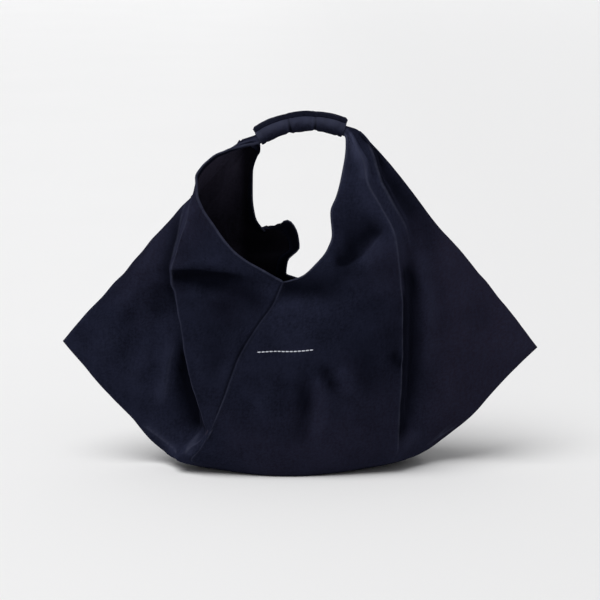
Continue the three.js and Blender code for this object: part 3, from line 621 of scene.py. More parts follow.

# Each side's folds, painted shading paths, and thin painted lines, left and right
FOLDS = (LEFT_FOLDS + LEFT_BACK_FOLDS, RIGHT_FOLDS + RIGHT_BACK_FOLDS)
PAINTED_SHADING = (LEFT_PAINTED_SHADING + turned_round(RIGHT_PAINTED_SHADING), RIGHT_PAINTED_SHADING + turned_round(LEFT_PAINTED_SHADING))
PAINTED_LINES = (LEFT_PAINTED_LINES + turned_round(RIGHT_PAINTED_LINES), RIGHT_PAINTED_LINES + turned_round(LEFT_PAINTED_LINES))


def along_path(x, z, path):
    """Each point's distance to a path of straight stretches, how far along the path its nearest point
    lies, as a share, and on which side of the path it is: 1 left of the way on, -1 right of it."""
    path = np.array(path) * MM
    starts, steps = path[:-1], np.diff(path, axis=0)
    lengths = np.linalg.norm(steps, axis=1)
    before = np.concatenate([[0], np.cumsum(lengths)])
    away = np.stack([x, z], axis=-1)[..., None, :] - starts
    t = np.clip(np.sum(away * steps, axis=-1) / lengths**2, 0, 1)
    distance = np.linalg.norm(away - t[..., None] * steps, axis=-1)
    best = np.argmin(distance, axis=-1)[..., None]
    share = (before[:-1] + t * lengths) / before[-1]
    side = np.sign(steps[:, 0] * away[..., 1] - steps[:, 1] * away[..., 0])
    return [np.take_along_axis(values, best, axis=-1)[..., 0] for values in (distance, share, side)]


def carried_by(part, soft):
    """1 on the stretch of the section that carries a fold, and 0 outside it, with a soft change."""
    low, high = part
    after = smoothstep(COLUMNS, low - soft, low + soft) if low > 0 else 1
    return after * (1 - smoothstep(COLUMNS, high - soft, high + soft) if high < 6 else 1)


def faded_ends(share, fade):
    """A fold's strength along its path, which grows in at the start and dies out at the end."""
    start, stop = np.broadcast_to(fade, 2)
    return smoothstep(share, 0, start) * (1 - smoothstep(share, 1 - stop, 1))


def fold_heights(grid, folds, at_edge=0.15, soft=0.15):
    """The sum of the folds at each point: a bell across the path, or half of one for a fold with a
    side, which fades in and out along it, on the stretch of the section that carries it; only the
    share at_edge is left at the wing's edge."""
    height = np.zeros(grid.shape[:2])
    for fold in folds:
        distance, share, side = along_path(grid[..., 0], grid[..., 2], fold.path)
        across = bell(distance, fold.width * MM)
        if fold.side:
            across = across * smoothstep(side * fold.side * distance, -2.0 * MM, 1.0 * MM)
        height += fold.rise * MM * across * faded_ends(share, fold.fade) * carried_by(fold.part, soft)
    return height * (at_edge + (1 - at_edge) * smoothstep(abs(COLUMNS - 3), 0.08, 0.45))


def painted_lines(grid, folds):
    """Thin painted lines, highlights on crests and shade in creases: each point's distance to the nearest
    line in millimetres, with the sign of its side, and that line's strength, which is gone 8 mm away, before
    the next line."""
    nearest = np.full(grid.shape[:2], 1.0)
    signed, strength = np.zeros_like(nearest), np.zeros_like(nearest)
    for fold in folds:
        distance, share, side = along_path(grid[..., 0], grid[..., 2], fold.path)
        value = fold.rise * faded_ends(share, fold.fade) * carried_by(fold.part, 0.1)
        value = value * (1 - smoothstep(distance, 5 * MM, 8 * MM))
        closer = distance < nearest
        signed = np.where(closer, side * np.minimum(distance / MM, 9), signed)
        strength = np.where(closer, value, strength)
        nearest = np.where(closer, distance, nearest)
    return signed, strength


# The slow swells: each size of wave with its length, its rise in millimetres and how many there are
DRAPE_WAVES = ((0.075, 0.70, 6), (0.036, 0.34, 8), (0.017, 0.12, 10))
DRAPE_SEED = 12
# How far down from the wrap the gathers reach
GATHER_REACH = 45 * MM
# The lengths of the two waves that the seams' puckers are made of
PUCKERS = (7.2 * MM, 11.3 * MM)


def drape(grid):
    """Slow, uneven swells of the cloth: a sum of waves through space in fixed, scattered directions."""
    rng = np.random.default_rng(DRAPE_SEED)
    height = np.zeros(grid.shape[:-1])
    for length, rise, count in DRAPE_WAVES:
        ways = unit(rng.normal(size=(count, 3))) * 2 * math.pi / length
        height += rise * MM * np.sum(np.sin(grid @ ways.T + rng.uniform(0, 2 * math.pi, count)), axis=-1) / 2
    return height


def gathers(along, wrap_start):
    """Pleats that fan out from the handle: waves across the section, sharp at the crests, that are
    deepest just outside the wrap and die out down the peak."""
    away = wrap_start - along
    deep = np.exp(-np.maximum(away, 0) / GATHER_REACH) * smoothstep(away, -4 * MM, 10 * MM)
    wave = np.sin(2 * math.pi * (2.6 * COLUMNS + 0.35 * np.sin(2.1 * COLUMNS)))
    fine = np.sin(2 * math.pi * (5.3 * COLUMNS + 0.21))
    crest = 1 - 2 * np.abs(wave) ** 0.7
    return deep[:, None] * (0.7 * crest + 0.2 * fine)[None] * MM


def rim_walks(grid):
    """The lengths along the section to each point from the front rim or seam, and from the back one."""
    steps = np.linalg.norm(np.diff(grid, axis=1), axis=2)
    from_front = np.concatenate([np.zeros((len(grid), 1)), np.cumsum(steps, axis=1)], axis=1)
    return from_front, from_front[:, -1:] - from_front


def seam_heights(grid, along, right, sizes):
    """The seams below the notches and the hems above them. Below, the upper panel stands proud and the
    lower one dips beside it, with small puckers; above, the stitch line draws in a turned hem."""
    below = (along <= 0)[:, None]
    turn = 2 * math.pi * along[:, None]
    wobble = np.sin(turn / PUCKERS[0]) + 0.6 * np.sin(turn / PUCKERS[1] + 1)
    stitch_line = HEM_STEPS[STITCH_COLUMN] * sizes.hem / MM
    height = np.zeros(grid.shape[:2])
    for distance, proud in zip(rim_walks(grid), (right, not right)):
        d = distance / MM
        lap = 0.50 * bell(d, 3) if proud else -0.5 * bell(d - 1.2, 1.8)
        puckers = 0.10 * wobble * bell(d - 4.5, 4)
        stitched = -0.32 * bell(d - stitch_line, 1.3) * (1 + 0.35 * wobble)
        hem = 0.35 * bell(d, 2.2) + stitched
        height += np.where(below, lap + puckers, hem + 0.6 * puckers) * MM
    return height


def grid_normals(grid, right=True):
    """The normals out of the cloth of one side, from the steps along its rows and columns."""
    normals = unit(np.cross(np.gradient(grid, axis=1), np.gradient(grid, axis=0)))
    return normals if right else -normals


# What a face of the surface belongs to: the panels' plain cloth, the hems' inner sides, the strips
# between hem and lining, the gathered handle, the base, and the cloth just below the wrap
PANEL, FRONT_HEM, BACK_HEM, BARE, BUNDLE, BASE, NECK_CLOTH = EVERYWHERE = range(7)
# How far below the wrap the lining stops, on the left and on the right
NECKS = (16 * MM, 60 * MM)
# Beside the seams folds fade out between these two distances
SEAM_FADE = (1 * MM, 8 * MM)
# The share that is left on the lining of what stands out on the outer cloth
INNER_SHARE = 0.3
# The share of its depth that the lining is drawn in at the seams' lower ends, and how far that reaches
DRAWN_IN, DRAWN_REACH = 0.07, 14 * MM

Side = namedtuple("Side", "grid along wrap_start marks")
Surface = namedtuple("Surface", "points normals corners merge uv patch wear grids")


def side_surface(sizes, right, inside):
    """One side's grid with its folds, and at each point its worn paleness with painted highlight, its
    painted shading as tone, and its painted line and line strength. Sharp folds fade out beside the
    seams. On the lining they are rounder, what stands out is lower and the lower ends of the seams are
    drawn in, so that it stays within the outer cloth."""
    grid, along, wrap_start = side_grid(sizes, right, INNER_ROUND if inside else RIDGE_ROUND)
    rim = np.minimum(*rim_walks(grid))
    sewn = (1 - smoothstep(along, -0.02, 0.0))[:, None]
    height = fold_heights(grid, FOLDS[right]) * (1 - sewn * (1 - smoothstep(rim, *SEAM_FADE)))
    calm = 0.3 + 0.7 * smoothstep(abs(COLUMNS - 3), 0.05, 0.5)
    height += drape(grid) * calm + gathers(along, wrap_start)
    # Painted shading from the paths, the folds' heights, the panels, the wrap and the seams
    tone = painted_shading_on(grid, along, wrap_start, right, height)
    height += seam_heights(grid, along, right, sizes) * (1 - sewn * inside)
    if inside:
        height = np.where(height > 0, INNER_SHARE * height, height)
        tone = INNER_SHARE * tone
    height *= smoothstep(grid[..., 2], 1 * MM, 16 * MM)
    height *= 1 - smoothstep(along - wrap_start, -2 * MM, 4 * MM)[:, None]
    placed = grid + grid_normals(grid, right) * height[..., None]
    if inside:
        corner = bell(rim, DRAWN_REACH) * (1 - smoothstep(along, -0.15, -0.10))[:, None]
        placed[..., 1] *= 1 - DRAWN_IN * corner
    placed = round_base(placed)
    marks = np.stack([rub_and_highlight_on(placed, along, right), tone, *painted_lines(grid, PAINTED_LINES[right])], axis=-1)
    return Side(placed, along, wrap_start, marks.reshape(-1, 4))


def patch_labels(side, neck):
    """What each face of one side belongs to."""
    rows, cols = side.grid.shape[:2]
    label = np.full((rows - 1, cols - 1), PANEL)
    label[side.along[1:] > side.wrap_start - neck] = NECK_CLOTH
    facing = np.arange(rows - 1) >= MESH.body - 2
    label[facing, :HEM_COLUMN] = FRONT_HEM
    label[facing, -HEM_COLUMN:] = BACK_HEM
    label[facing, HEM_COLUMN:LINING_COLUMN] = BARE
    label[facing, -LINING_COLUMN:-HEM_COLUMN] = BARE
    label[-MESH.bundle:] = BUNDLE
    return label.ravel()


def face_grid(ids, right):
    """The faces between neighbouring points of a grid of point numbers, turned outward."""
    quads = np.stack([ids[:-1, :-1], ids[:-1, 1:], ids[1:, 1:], ids[1:, :-1]], axis=-1)
    return (quads if right else quads[..., ::-1]).reshape(-1, 4)


def bag_surface(sizes, inside=False):
    """The whole outer surface, with its folds, or the rounder one that the lining follows. Two grids of
    points meet along the seams and at the handle's middle, where shared points are merged; a third
    set spans the base."""
    sides = [side_surface(sizes, right, inside) for right in (False, True)]
    grids = [side.grid for side in sides]
    rows, cols = grids[0].shape[:2]
    ids = np.arange(2 * rows * cols).reshape(2, rows, cols)
    merge = ids.copy()
    merge[1, : MESH.body, 0] = ids[0, : MESH.body, 0]
    merge[1, : MESH.body, -1] = ids[0, : MESH.body, -1]
    merge[1, -1] = ids[0, -1]
    base_points, base_quads, base_merge = base_grid(grids, ids, merge)
    stacked = np.concatenate([np.stack(grids).reshape(-1, 3), base_points])
    merge = np.concatenate([merge.ravel(), base_merge])
    corners = np.concatenate([base_quads, face_grid(ids[0], False), face_grid(ids[1], True)])
    labels = [patch_labels(side, neck) for side, neck in zip(sides, NECKS)]
    patch = np.concatenate([np.full(len(base_quads), BASE)] + labels)
    counts = np.bincount(merge, minlength=len(stacked))
    sums = np.stack([np.bincount(merge, stacked[:, k], len(stacked)) for k in range(3)], axis=1)
    merged = sums / np.maximum(counts, 1)[:, None]
    normals = vertex_normals(merged, merge[corners])
    normals[ids.size:] = [0, 0, -1]
    # Worn paleness with painted highlight, painted shading and painted lines at each point; none on the base
    wear = np.concatenate([side.marks for side in sides] + [np.zeros((len(base_points), 4))])
    return Surface(merged, normals, corners, merge, cloth_uv(grids, base_points), patch, wear, grids)


def painted_shading_on(grid, along, wrap_start, right, height):
    """The cloth's painted shading: painted shade and highlight along the paths, a share of the folds'
    heights as painted shade in hollows and highlight on swells, the full panels painted a little darker
    than the wings, a painted highlight on the cloth beside the wrap, and a painted shadow on the strip
    beside each seam, under its proud side."""
    # Painted shade and highlight along the paths, and painted shade in hollows and highlight on swells by a
    # share of the folds' heights
    tone = fold_heights(grid, PAINTED_SHADING[right], 1.0, 0.05) / MM + 0.10 * np.clip(height / MM, -3, 3)
    z = grid[..., 2]
    # The full panels painted darker than the wings, as shade
    panels = 1 - smoothstep(np.minimum(COLUMNS, 6 - COLUMNS), 0.85, 1.1)
    tone -= 0.32 * panels * smoothstep(z, 0.02, 0.10) * (1 - smoothstep(z, 0.20, 0.31))
    # A painted highlight on the front cloth beside the wrap
    near_wrap = bell(np.maximum(wrap_start - along, 0), 14 * MM)[:, None]
    tone += 1.5 * near_wrap * (1 - smoothstep(COLUMNS, 1.0, 2.0))
    # A painted shadow on the strip beside each seam, under its proud side
    rim = 6 - COLUMNS if right else COLUMNS
    tone -= 0.55 * bell(rim - 0.040, 0.028) * (1 - smoothstep(along, -4 * MM, 2 * MM))[:, None]
    return np.clip(tone, -1, 4)


def round_base(grid):
    """Draws the lowest rows in on a quarter circle, so that the base has a soft edge."""
    low = np.clip(BASE_ROUND - grid[..., 2], 0, BASE_ROUND)
    inset = BASE_ROUND - np.sqrt(BASE_ROUND**2 - low**2)
    flat = grid.copy()
    flat[..., :2] -= unit(grid[..., :2]) * inset[..., None]
    return flat


def base_grid(grids, ids, merge):
    """The base between the front and back halves of both sides' lowest rows, as straight lines across."""
    share = np.linspace(0, 1, MESH.base + 1)[:, None]
    half = ids.shape[2] // 2
    start = ids.size
    new_points, quads, new_merge = [], [], []
    for right in (False, True):
        row = grids[right][0]
        front, back = row[: half + 1], row[::-1][: half + 1]
        mid = front[:, None] * (1 - share) + back[:, None] * share
        number = start + np.arange(mid[:, :, 0].size).reshape(mid.shape[:2])
        kept = number.copy()
        kept[:, 0] = merge[int(right), 0, : half + 1]
        kept[:, -1] = merge[int(right), 0, ::-1][: half + 1]
        kept[-1] = merge[int(right), 0, half]
        if right:
            kept[0, 1:-1] = start - number.size + np.arange(1, MESH.base)
        new_points.append(mid.reshape(-1, 3))
        new_merge.append(kept.ravel())
        quads.append(face_grid(number, right))
        start += number.size
    return np.concatenate(new_points), np.concatenate(quads), np.concatenate(new_merge)


def vertex_normals(spots, quads):
    """Normals at merged points: the sum of the cross products of each face's diagonals."""
    a, b, c, d = (spots[quads[:, k]] for k in range(4))
    face = np.cross(c - a, d - b)
    total = np.zeros_like(spots)
    for k in range(4):
        np.add.at(total, quads[:, k], face)
    return unit(total)


def cloth_uv(grids, base_points):
    """Each point's place on the flat cloth, in metres: the length along its section from the front
    seam, and the mean length along the columns from the base. The base takes its own x and y."""
    flat = []
    for side, grid in zip((-1, 1), grids):
        across = np.cumsum(np.linalg.norm(np.diff(grid, axis=1, prepend=grid[:, :1]), axis=2), axis=1)
        up = np.cumsum(np.mean(np.linalg.norm(np.diff(grid, axis=0, prepend=grid[:1]), axis=2), axis=1))
        place = np.stack([side * across, np.broadcast_to(up[:, None], across.shape)], axis=-1)
        flat.append(place.reshape(-1, 2))
    return np.concatenate(flat + [base_points[:, :2]])


def rub_and_highlight_on(grid, along, right):
    """How worn the cloth is, and so how pale, from 0 to 1, which is also a painted highlight: on ridges
    that stand out over a few millimetres, in a thin line along the sharp front and back folds, and
    within 1 mm of rims and seams."""
    normals = grid_normals(grid, right)
    rise = np.zeros(grid.shape[:2])
    for away in (2, 4):
        inner = grid[:, away:-away] - (grid[:, : -2 * away] + grid[:, 2 * away:]) / 2
        span = np.linalg.norm(grid[:, 2 * away:] - grid[:, : -2 * away], axis=2)
        bend = np.sum(inner * normals[:, away:-away], axis=2) / np.maximum(span, 4 * MM)
        rise[:, away:-away] = np.maximum(rise[:, away:-away], bend)
    seam = 0.35 + 0.45 * (1 - smoothstep(along, -0.165, -0.05))
    edge = bell(np.minimum(*rim_walks(grid)), 0.9 * MM) * np.where(along > 0, 1, seam)[:, None]
    crest = bell(abs(COLUMNS - 3) - 2, 0.040) * smoothstep(grid[..., 2], 12 * MM, 40 * MM)
    ridge = np.maximum(0.7 * smoothstep(rise, 0.24, 0.60), 0.95 * crest)
    return np.clip(np.maximum(ridge, edge), 0, 1)


# Closed pieces from the surface

def shell(surface, patches, outer, inner, rim_steps=4, margin=0.0, rolled=0.0):
    """A closed layer under the surface's faces of the named patches, between two depths. Its open edges
    are half rounds; margin draws them back, and rolled makes the cloth that much thicker at them."""
    faces = surface.corners[np.isin(surface.patch, patches)]
    used, flat = np.unique(surface.merge[faces], return_inverse=True)
    quads = flat.reshape(faces.shape)
    spots, normals = surface.points[used], surface.normals[used]
    a, b = quads, np.roll(quads, -1, axis=1)
    keys = (a.astype(np.int64) * len(used) + b).ravel()
    twins = (b.astype(np.int64) * len(used) + a).ravel()
    open_edge = ~np.isin(keys, twins) & (a != b).ravel()
    start, stop = a.ravel()[open_edge], b.ravel()[open_edge]
    centre = np.repeat(spots[quads].mean(axis=1), 4, axis=0)[open_edge]
    along = unit(spots[stop] - spots[start])
    way = centre - spots[start]
    way = unit(way - np.sum(way * along, axis=1, keepdims=True) * along)
    pull = np.zeros_like(spots)
    np.add.at(pull, start, way)
    np.add.at(pull, stop, way)
    pull = unit(pull) * (np.linalg.norm(pull, axis=1, keepdims=True) > 0)
    on_edge = np.linalg.norm(pull, axis=1) > 0.5
    spots = spots + pull * margin
    depth = inner + rolled * on_edge
    top = spots - normals * outer
    under = spots - normals * depth[:, None]
    middle, radius = (top + under) / 2, (depth - outer)[:, None] / 2
    rings = [top]
    for k in range(1, rim_steps):
        turn = math.pi * k / rim_steps
        rings.append(middle + normals * radius * math.cos(turn) - pull * radius * math.sin(turn))
    rings.append(under)
    edge_ids = np.unique(np.concatenate([start, stop]))
    slot = np.full(len(used), -1)
    slot[edge_ids] = np.arange(len(edge_ids))
    all_points = [top, under] + [ring[edge_ids] for ring in rings[1:-1]]
    n, m = len(used), len(edge_ids)

    def ring_id(k, vertex):
        if k == 0:
            return vertex
        return vertex + n if k == rim_steps else 2 * n + (k - 1) * m + slot[vertex]

    walls = [
        np.stack([ring_id(k, start), ring_id(k + 1, start), ring_id(k + 1, stop), ring_id(k, stop)], axis=1)
        for k in range(rim_steps)
    ]
    mesh_quads = np.concatenate([quads, quads[:, ::-1] + n] + walls)
    source = faces.reshape(-1, 4)
    edge_corner = np.flatnonzero(open_edge)
    first = faces.ravel()[edge_corner]
    second = np.roll(faces, -1, axis=1).ravel()[edge_corner]
    wall_source = np.stack([first, first, second, second], axis=1)
    corner_source = np.concatenate([source, source[:, ::-1]] + [wall_source] * rim_steps)
    return np.concatenate(all_points), mesh_quads, corner_source


def put_mesh(name, spots, quads, uv=None, wear=None):
    """A smooth mesh object from points and four-sided faces, whose repeated corners are dropped, with a
    place on the cloth and its worn paleness and painted shading at each face corner."""
    keep = quads != np.roll(quads, 1, axis=1)
    counts = keep.sum(axis=1)
    whole = counts >= 3
    keep &= whole[:, None]
    loops = quads[keep]
    counts = counts[whole]
    mesh = bpy.data.meshes.new(name)
    mesh.vertices.add(len(spots))
    mesh.vertices.foreach_set("co", np.ascontiguousarray(spots, np.float32).ravel())
    mesh.loops.add(len(loops))
    mesh.loops.foreach_set("vertex_index", loops.astype(np.int32))
    mesh.polygons.add(len(counts))
    mesh.polygons.foreach_set("loop_start", np.concatenate([[0], np.cumsum(counts)[:-1]]).astype(np.int32))
    mesh.polygons.foreach_set("use_smooth", np.full(len(counts), True))
    if uv is not None:
        layer = mesh.uv_layers.new(name="cloth")
        layer.data.foreach_set("uv", uv[keep].astype(np.float32).ravel())
    if wear is not None:
        for k, label in enumerate(("wear", "tone", "line", "strength")[: wear.shape[-1]]):
            values = mesh.attributes.new(label, "FLOAT", "CORNER")
            values.data.foreach_set("value", np.ascontiguousarray(wear[keep][:, k], np.float32))
    mesh.update(calc_edges=True)
    if mesh.validate(verbose=False):
        raise RuntimeError(name + " had faces that don't fit together")
    piece = bpy.data.objects.new(name, mesh)
    bpy.context.scene.collection.objects.link(piece)
    return piece


def cloth_piece(name, surface, patches, outer, inner, **options):
    """A closed cloth layer as an object, with its place on the cloth and its worn paleness and painted
    shading.
    """
    spots, quads, source = shell(surface, patches, outer, inner, **options)
    return put_mesh(name, spots, quads, surface.uv[source], surface.wear[source])


def dress(piece, material, nodes):
    """Gives a piece its material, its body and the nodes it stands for."""
    piece.data.materials.append(material)
    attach(piece, "root")
    if nodes:
        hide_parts(*nodes)
    return piece


# The handle wrap

# The stretch of the handle that the wrap covers
WRAP_PART = (0.03, 0.97)
# The wrap's soft swells between pinches: where each lies along the wrap, how wide it is and how far
# it stands out, in shares of the wrap's length and millimetres.
SWELLS = [(0.13, 0.10, 0.9), (0.33, 0.07, 0.5), (0.50, 0.09, 1.0), (0.72, 0.06, 0.4), (0.87, 0.09, 0.8)]
CRINKLES = [
    (0.055, 0.016, -0.7), (0.36, 0.018, -0.9), (0.405, 0.014, 0.5), (0.665, 0.018, -0.9), (0.95, 0.015, -0.6),
]
PINCHES = (0.37, 0.66)
# The section's angles from its top in front round to the foot of the flap, and how far the flap leans
WRAP_ANGLES = (math.radians(12), math.radians(345))
WRAP_LEAN = math.radians(18)
WRAP_ROWS, WRAP_AROUND, WRAP_UP = 150, 64, 9
# The point of the ring at the flap's upper edge
FLAP_EDGE = WRAP_AROUND + WRAP_UP


def wrap_ring(sizes, along, spot, out, angle):
    """The wrap's section at each row: its outer skin, the flap's two skins and its inner skin, with the
    half turns between. Round the bundle it swells between pinches; its free edge stands up behind and
    leans back, a little uneven."""
    inner = sizes.bundle_radius + sizes.wrap_room
    rows = along[:, None]
    swell = sum(h * bell(rows - c, w) for c, w, h in SWELLS + CRINKLES)
    twist = 0.9 * np.sin(2 * math.pi * (rows * 1.7 + angle / 6.3)) * 0.16
    cross = -0.8 * bell(rows - 0.38 - 0.05 * np.sin(angle + 1), 0.02)
    cross += -0.8 * bell(rows - 0.66 + 0.04 * np.sin(angle * 1.3), 0.018)
    ripple = 0.10 * np.sin(2 * math.pi * (rows * 9 + 0.8 * np.sin(angle * 2)))
    radius = inner + sizes.cloth + (swell + twist + cross + ripple) * MM * np.sin(angle / 2) ** 0.5
    wave = 0.35 * np.sin(2 * math.pi * along * 2.3) + 0.25 * np.sin(2 * math.pi * along * 5.1 + 1)
    ends = smoothstep(along, 0, 0.02) * (1 - smoothstep(along, 0.98, 1)) * 0.25 + 0.75
    tall = 0.85 * sizes.wrap_flap * ends + wave * MM * 0.5
    rise = np.linspace(0, 1, WRAP_UP + 1)[1:]
    lift = tall[:, None] * rise
    bow = 0.5 * MM * np.sin(math.pi * rise) * np.sin(2 * math.pi * along * 1.6)[:, None]

    def place(across, up):
        return spot[:, None] + points(0, 1, 0) * across[..., None] + out[:, None] * up[..., None]

    def skin(depth):
        return place(-depth * np.sin(angle), depth * np.cos(angle))

    def flap(depth):
        across = -depth * math.sin(WRAP_ANGLES[1]) + lift * math.sin(WRAP_LEAN) + bow
        return place(across, depth * math.cos(WRAP_ANGLES[1]) + lift * math.cos(WRAP_LEAN))

    inner = np.full_like(radius, inner)
    outer_skin, inner_skin = skin(radius), skin(inner)[:, ::-1]
    front_flap, back_flap = flap(radius[:, -1:]), flap(inner[:, -1:])[:, ::-1]
    top_turn = (front_flap[:, -1] + back_flap[:, 0]) / 2 + out * sizes.cloth * 0.45
    first_turn = (outer_skin[:, 0] + inner_skin[:, -1]) / 2
    first_turn += unit(outer_skin[:, 0] - outer_skin[:, 1]) * sizes.cloth * 0.45
    return np.concatenate([
        outer_skin, front_flap, top_turn[:, None], back_flap, inner_skin, first_turn[:, None],
    ], axis=1)


def wrap_marks(along, angle, count):
    """The wrap's worn paleness and painted shading: worn and blotchy where a hand holds it in front,
    which is also a painted highlight on its lit top, painted shade round the rest, a painted highlight
    before each pinch and painted shade in it, and worn along the free edge and the two ends."""
    worn = np.concatenate([angle, np.full(count - len(angle), math.pi)])
    held_and_lit = bell(worn - 0.75, 0.85)
    held_and_lit[len(angle):] = 0
    rows = along[:, None]
    blotches = np.sin(2 * math.pi * (3.3 * rows + 0.35 * np.sin(1.7 * worn)) + 0.8)
    blotches += 0.7 * np.sin(2 * math.pi * (7.1 * rows + 0.2 * np.sin(3.1 * worn + 1)) + 2.0 * worn)
    pinch_shade = sum(bell(rows - c - 0.012, 0.011) for c in PINCHES)
    pinch_highlight = sum(bell(rows - c + 0.020, 0.014) for c in PINCHES)
    # Painted highlight on the lit front top and painted shade round the rest, worn blotches, and a painted
    # highlight before each pinch with painted shade in it
    tone = 1.75 * held_and_lit - 0.30 + 0.55 * blotches * held_and_lit + (0.9 * pinch_highlight - 1.9 * pinch_shade) * (held_and_lit > 0.02)
    tone = np.clip(np.concatenate([tone[:1], tone, tone[-1:]]), -1, 4)
    # Worn paleness along the free edge and the ends, and where the hand holds it, which is also a painted
    # highlight
    rub_and_highlight = np.zeros_like(tone) + 0.8 * bell(abs(np.arange(count) - FLAP_EDGE), 1.6) + 0.85 * held_and_lit
    rub_and_highlight[:2] += 0.5
    rub_and_highlight[-2:] += 0.5
    return np.stack([np.clip(rub_and_highlight, 0, 1), tone], axis=-1).reshape(-1, 2)


def wrap_piece(sizes, material):
    """The wrap: a strip's rounded section carried along the handle's arc, with rounded ends. Returns
    the line that its stitches follow below the free edge, and the ways out of the cloth there."""
    share = np.linspace(*WRAP_PART, WRAP_ROWS)
    spot, out = handle_arc(sizes, share)
    angle = np.linspace(*WRAP_ANGLES, WRAP_AROUND)
    along = (share - WRAP_PART[0]) / (WRAP_PART[1] - WRAP_PART[0])
    ring = wrap_ring(sizes, along, spot, out, angle)
    count = ring.shape[1]
    middle = (ring + ring[:, (count - 2 - np.arange(count)) % count]) / 2
    lips = []
    for row, sign in ((0, -1), (-1, 1)):
        outward = unit(spot[row] - spot[row - sign])
        lips.append(middle[row] + (ring[row] - middle[row]) * 0.7 + outward * sizes.cloth * 0.4)
    body = np.concatenate([lips[0][None], ring, lips[1][None]])
    ids = np.arange(len(body) * count).reshape(len(body), count)
    after = np.roll(ids, -1, axis=1)
    near = np.arange(FLAP_EDGE)
    far = count - 2 - near
    quads = np.concatenate([
        np.stack([ids[:-1], after[:-1], after[1:], ids[1:]], axis=-1).reshape(-1, 4),
        ids[0][np.stack([near, far, far - 1, near + 1], axis=1)],
        ids[-1][np.stack([near, near + 1, far - 1, far], axis=1)],
    ])
    length = np.cumsum(np.linalg.norm(np.diff(ring[WRAP_ROWS // 2], axis=0), axis=1))
    lengthwise = np.concatenate([[0], along, [1]]) * sizes.handle_span
    uv = np.stack(np.meshgrid(np.concatenate([[0], length]), lengthwise), axis=-1).reshape(-1, 2)
    marks = wrap_marks(along, angle, count)
    piece = put_mesh("handle_wrap_cloth", body.reshape(-1, 3), quads, uv[quads], marks[quads])
    dress(piece, material, ["handle_wrap"])
    line = ring[8:-8, FLAP_EDGE - 3]
    return line, unit(line - ring[8:-8, count + 1 - FLAP_EDGE])


# Thread

def stitch_shape(count_along=5, count_round=6):
    """One stitch from -0.5 to 0.5 along x, with a round section of radius 1 that narrows to its ends,
    as points and faces."""
    x = np.linspace(-0.5, 0.5, count_along + 2)[1:-1]
    size = np.sqrt(np.clip(1 - (2 * x) ** 4, 0, 1))
    turn = np.linspace(0, 2 * math.pi, count_round, endpoint=False)
    rings = points(x[:, None], size[:, None] * np.cos(turn), size[:, None] * np.sin(turn)).reshape(-1, 3)
    tips = np.array([[-0.5, 0, 0], [0.5, 0, 0]])
    ids = np.arange(count_along * count_round).reshape(count_along, count_round)
    nxt = np.roll(ids, -1, axis=1)
    sides = np.stack([ids[:-1], nxt[:-1], nxt[1:], ids[1:]], axis=-1).reshape(-1, 4)
    low, high = len(rings), len(rings) + 1
    start = np.stack([np.full(count_round, low), nxt[0], ids[0], ids[0]], axis=1)
    stop = np.stack([np.full(count_round, high), ids[-1], nxt[-1], nxt[-1]], axis=1)
    return np.concatenate([rings, tips]), np.concatenate([sides, start, stop])


def spaced(line, ways, length, space):
    """Even places along a line of points: middles, directions along it and the ways out of the cloth."""
    steps = np.linalg.norm(np.diff(line, axis=0), axis=1)
    walked = np.concatenate([[0], np.cumsum(steps)])
    count = max(1, int((walked[-1] + space) / (length + space)))
    middle = (np.arange(count) + 0.5) * walked[-1] / count

    def at(where, values):
        return np.stack([np.interp(where, walked, values[:, k]) for k in range(3)], axis=1)

    along = unit(at(middle + length / 2, line) - at(middle - length / 2, line))
    return at(middle, line), along, unit(at(middle, ways))


def stitches(places, length, width, height, sink):
    """Copies of one stitch laid along the cloth at each place, sunk a little into it."""
    middle, along, out = places
    out = unit(out - np.sum(out * along, axis=1, keepdims=True) * along)
    side = np.cross(out, along)
    shape, faces = stitch_shape()
    lifted = middle - out * sink
    spots = (
        lifted[:, None]
        + along[:, None] * shape[:, :1] * length
        + side[:, None] * shape[:, 1:2] * width
        + out[:, None] * shape[:, 2:3] * height
    )
    quads = faces[None] + np.arange(len(middle))[:, None, None] * len(shape)
    return spots.reshape(-1, 3), quads.reshape(-1, 4)


def joined(parts):
    """Several sets of points and faces as one."""
    starts = np.cumsum([0] + [len(spots) for spots, _ in parts[:-1]])
    quads = [quads + start for (_, quads), start in zip(parts, starts)]
    return np.concatenate([spots for spots, _ in parts]), np.concatenate(quads)


def hem_lines(surface):
    """The lines that the hem and seam stitches follow, with the ways out of the cloth there: one along
    each rim, from notch over the handle's side to the wrap, and one beside each seam."""
    lines = []
    for right, grid in enumerate(surface.grids):
        normals = grid_normals(grid, right)
        rim = slice(MESH.body, len(grid) - MESH.bundle - 2)
        for column in (STITCH_COLUMN, -1 - STITCH_COLUMN):
            lines.append((grid[rim, column], normals[rim, column]))
        seam = (slice(3, MESH.body - 1), 3 if right else -4)
        lines.append((grid[seam], normals[seam]))
    return lines


def on_front(surface, x, z):
    """The front panel's points nearest to places seen from the front, moved to them along the cloth,
    and the cloth's normals there."""
    grid = surface.grids[1]
    panel = COLUMNS < 1
    spots = grid[:, panel].reshape(-1, 3)
    normals = grid_normals(grid)[:, panel].reshape(-1, 3)
    away = (spots[None, :, 0] - x[:, None]) ** 2 + (spots[None, :, 2] - z[:, None]) ** 2
    best = np.argmin(away, axis=1)
    spot, out = spots[best], normals[best]
    dx, dz = x - spot[:, 0], z - spot[:, 2]
    y = spot[:, 1] - (out[:, 0] * dx + out[:, 2] * dz) / out[:, 1]
    return points(x, y, z), out


# Materials

# The spacing of the threads in the two cloths
NAVY_THREAD, FINE_THREAD = 0.0009, 0.0005
# The tint of the cotton's faint sheen
SHEEN_TINT = (0.40, 0.43, 0.82, 1.0)
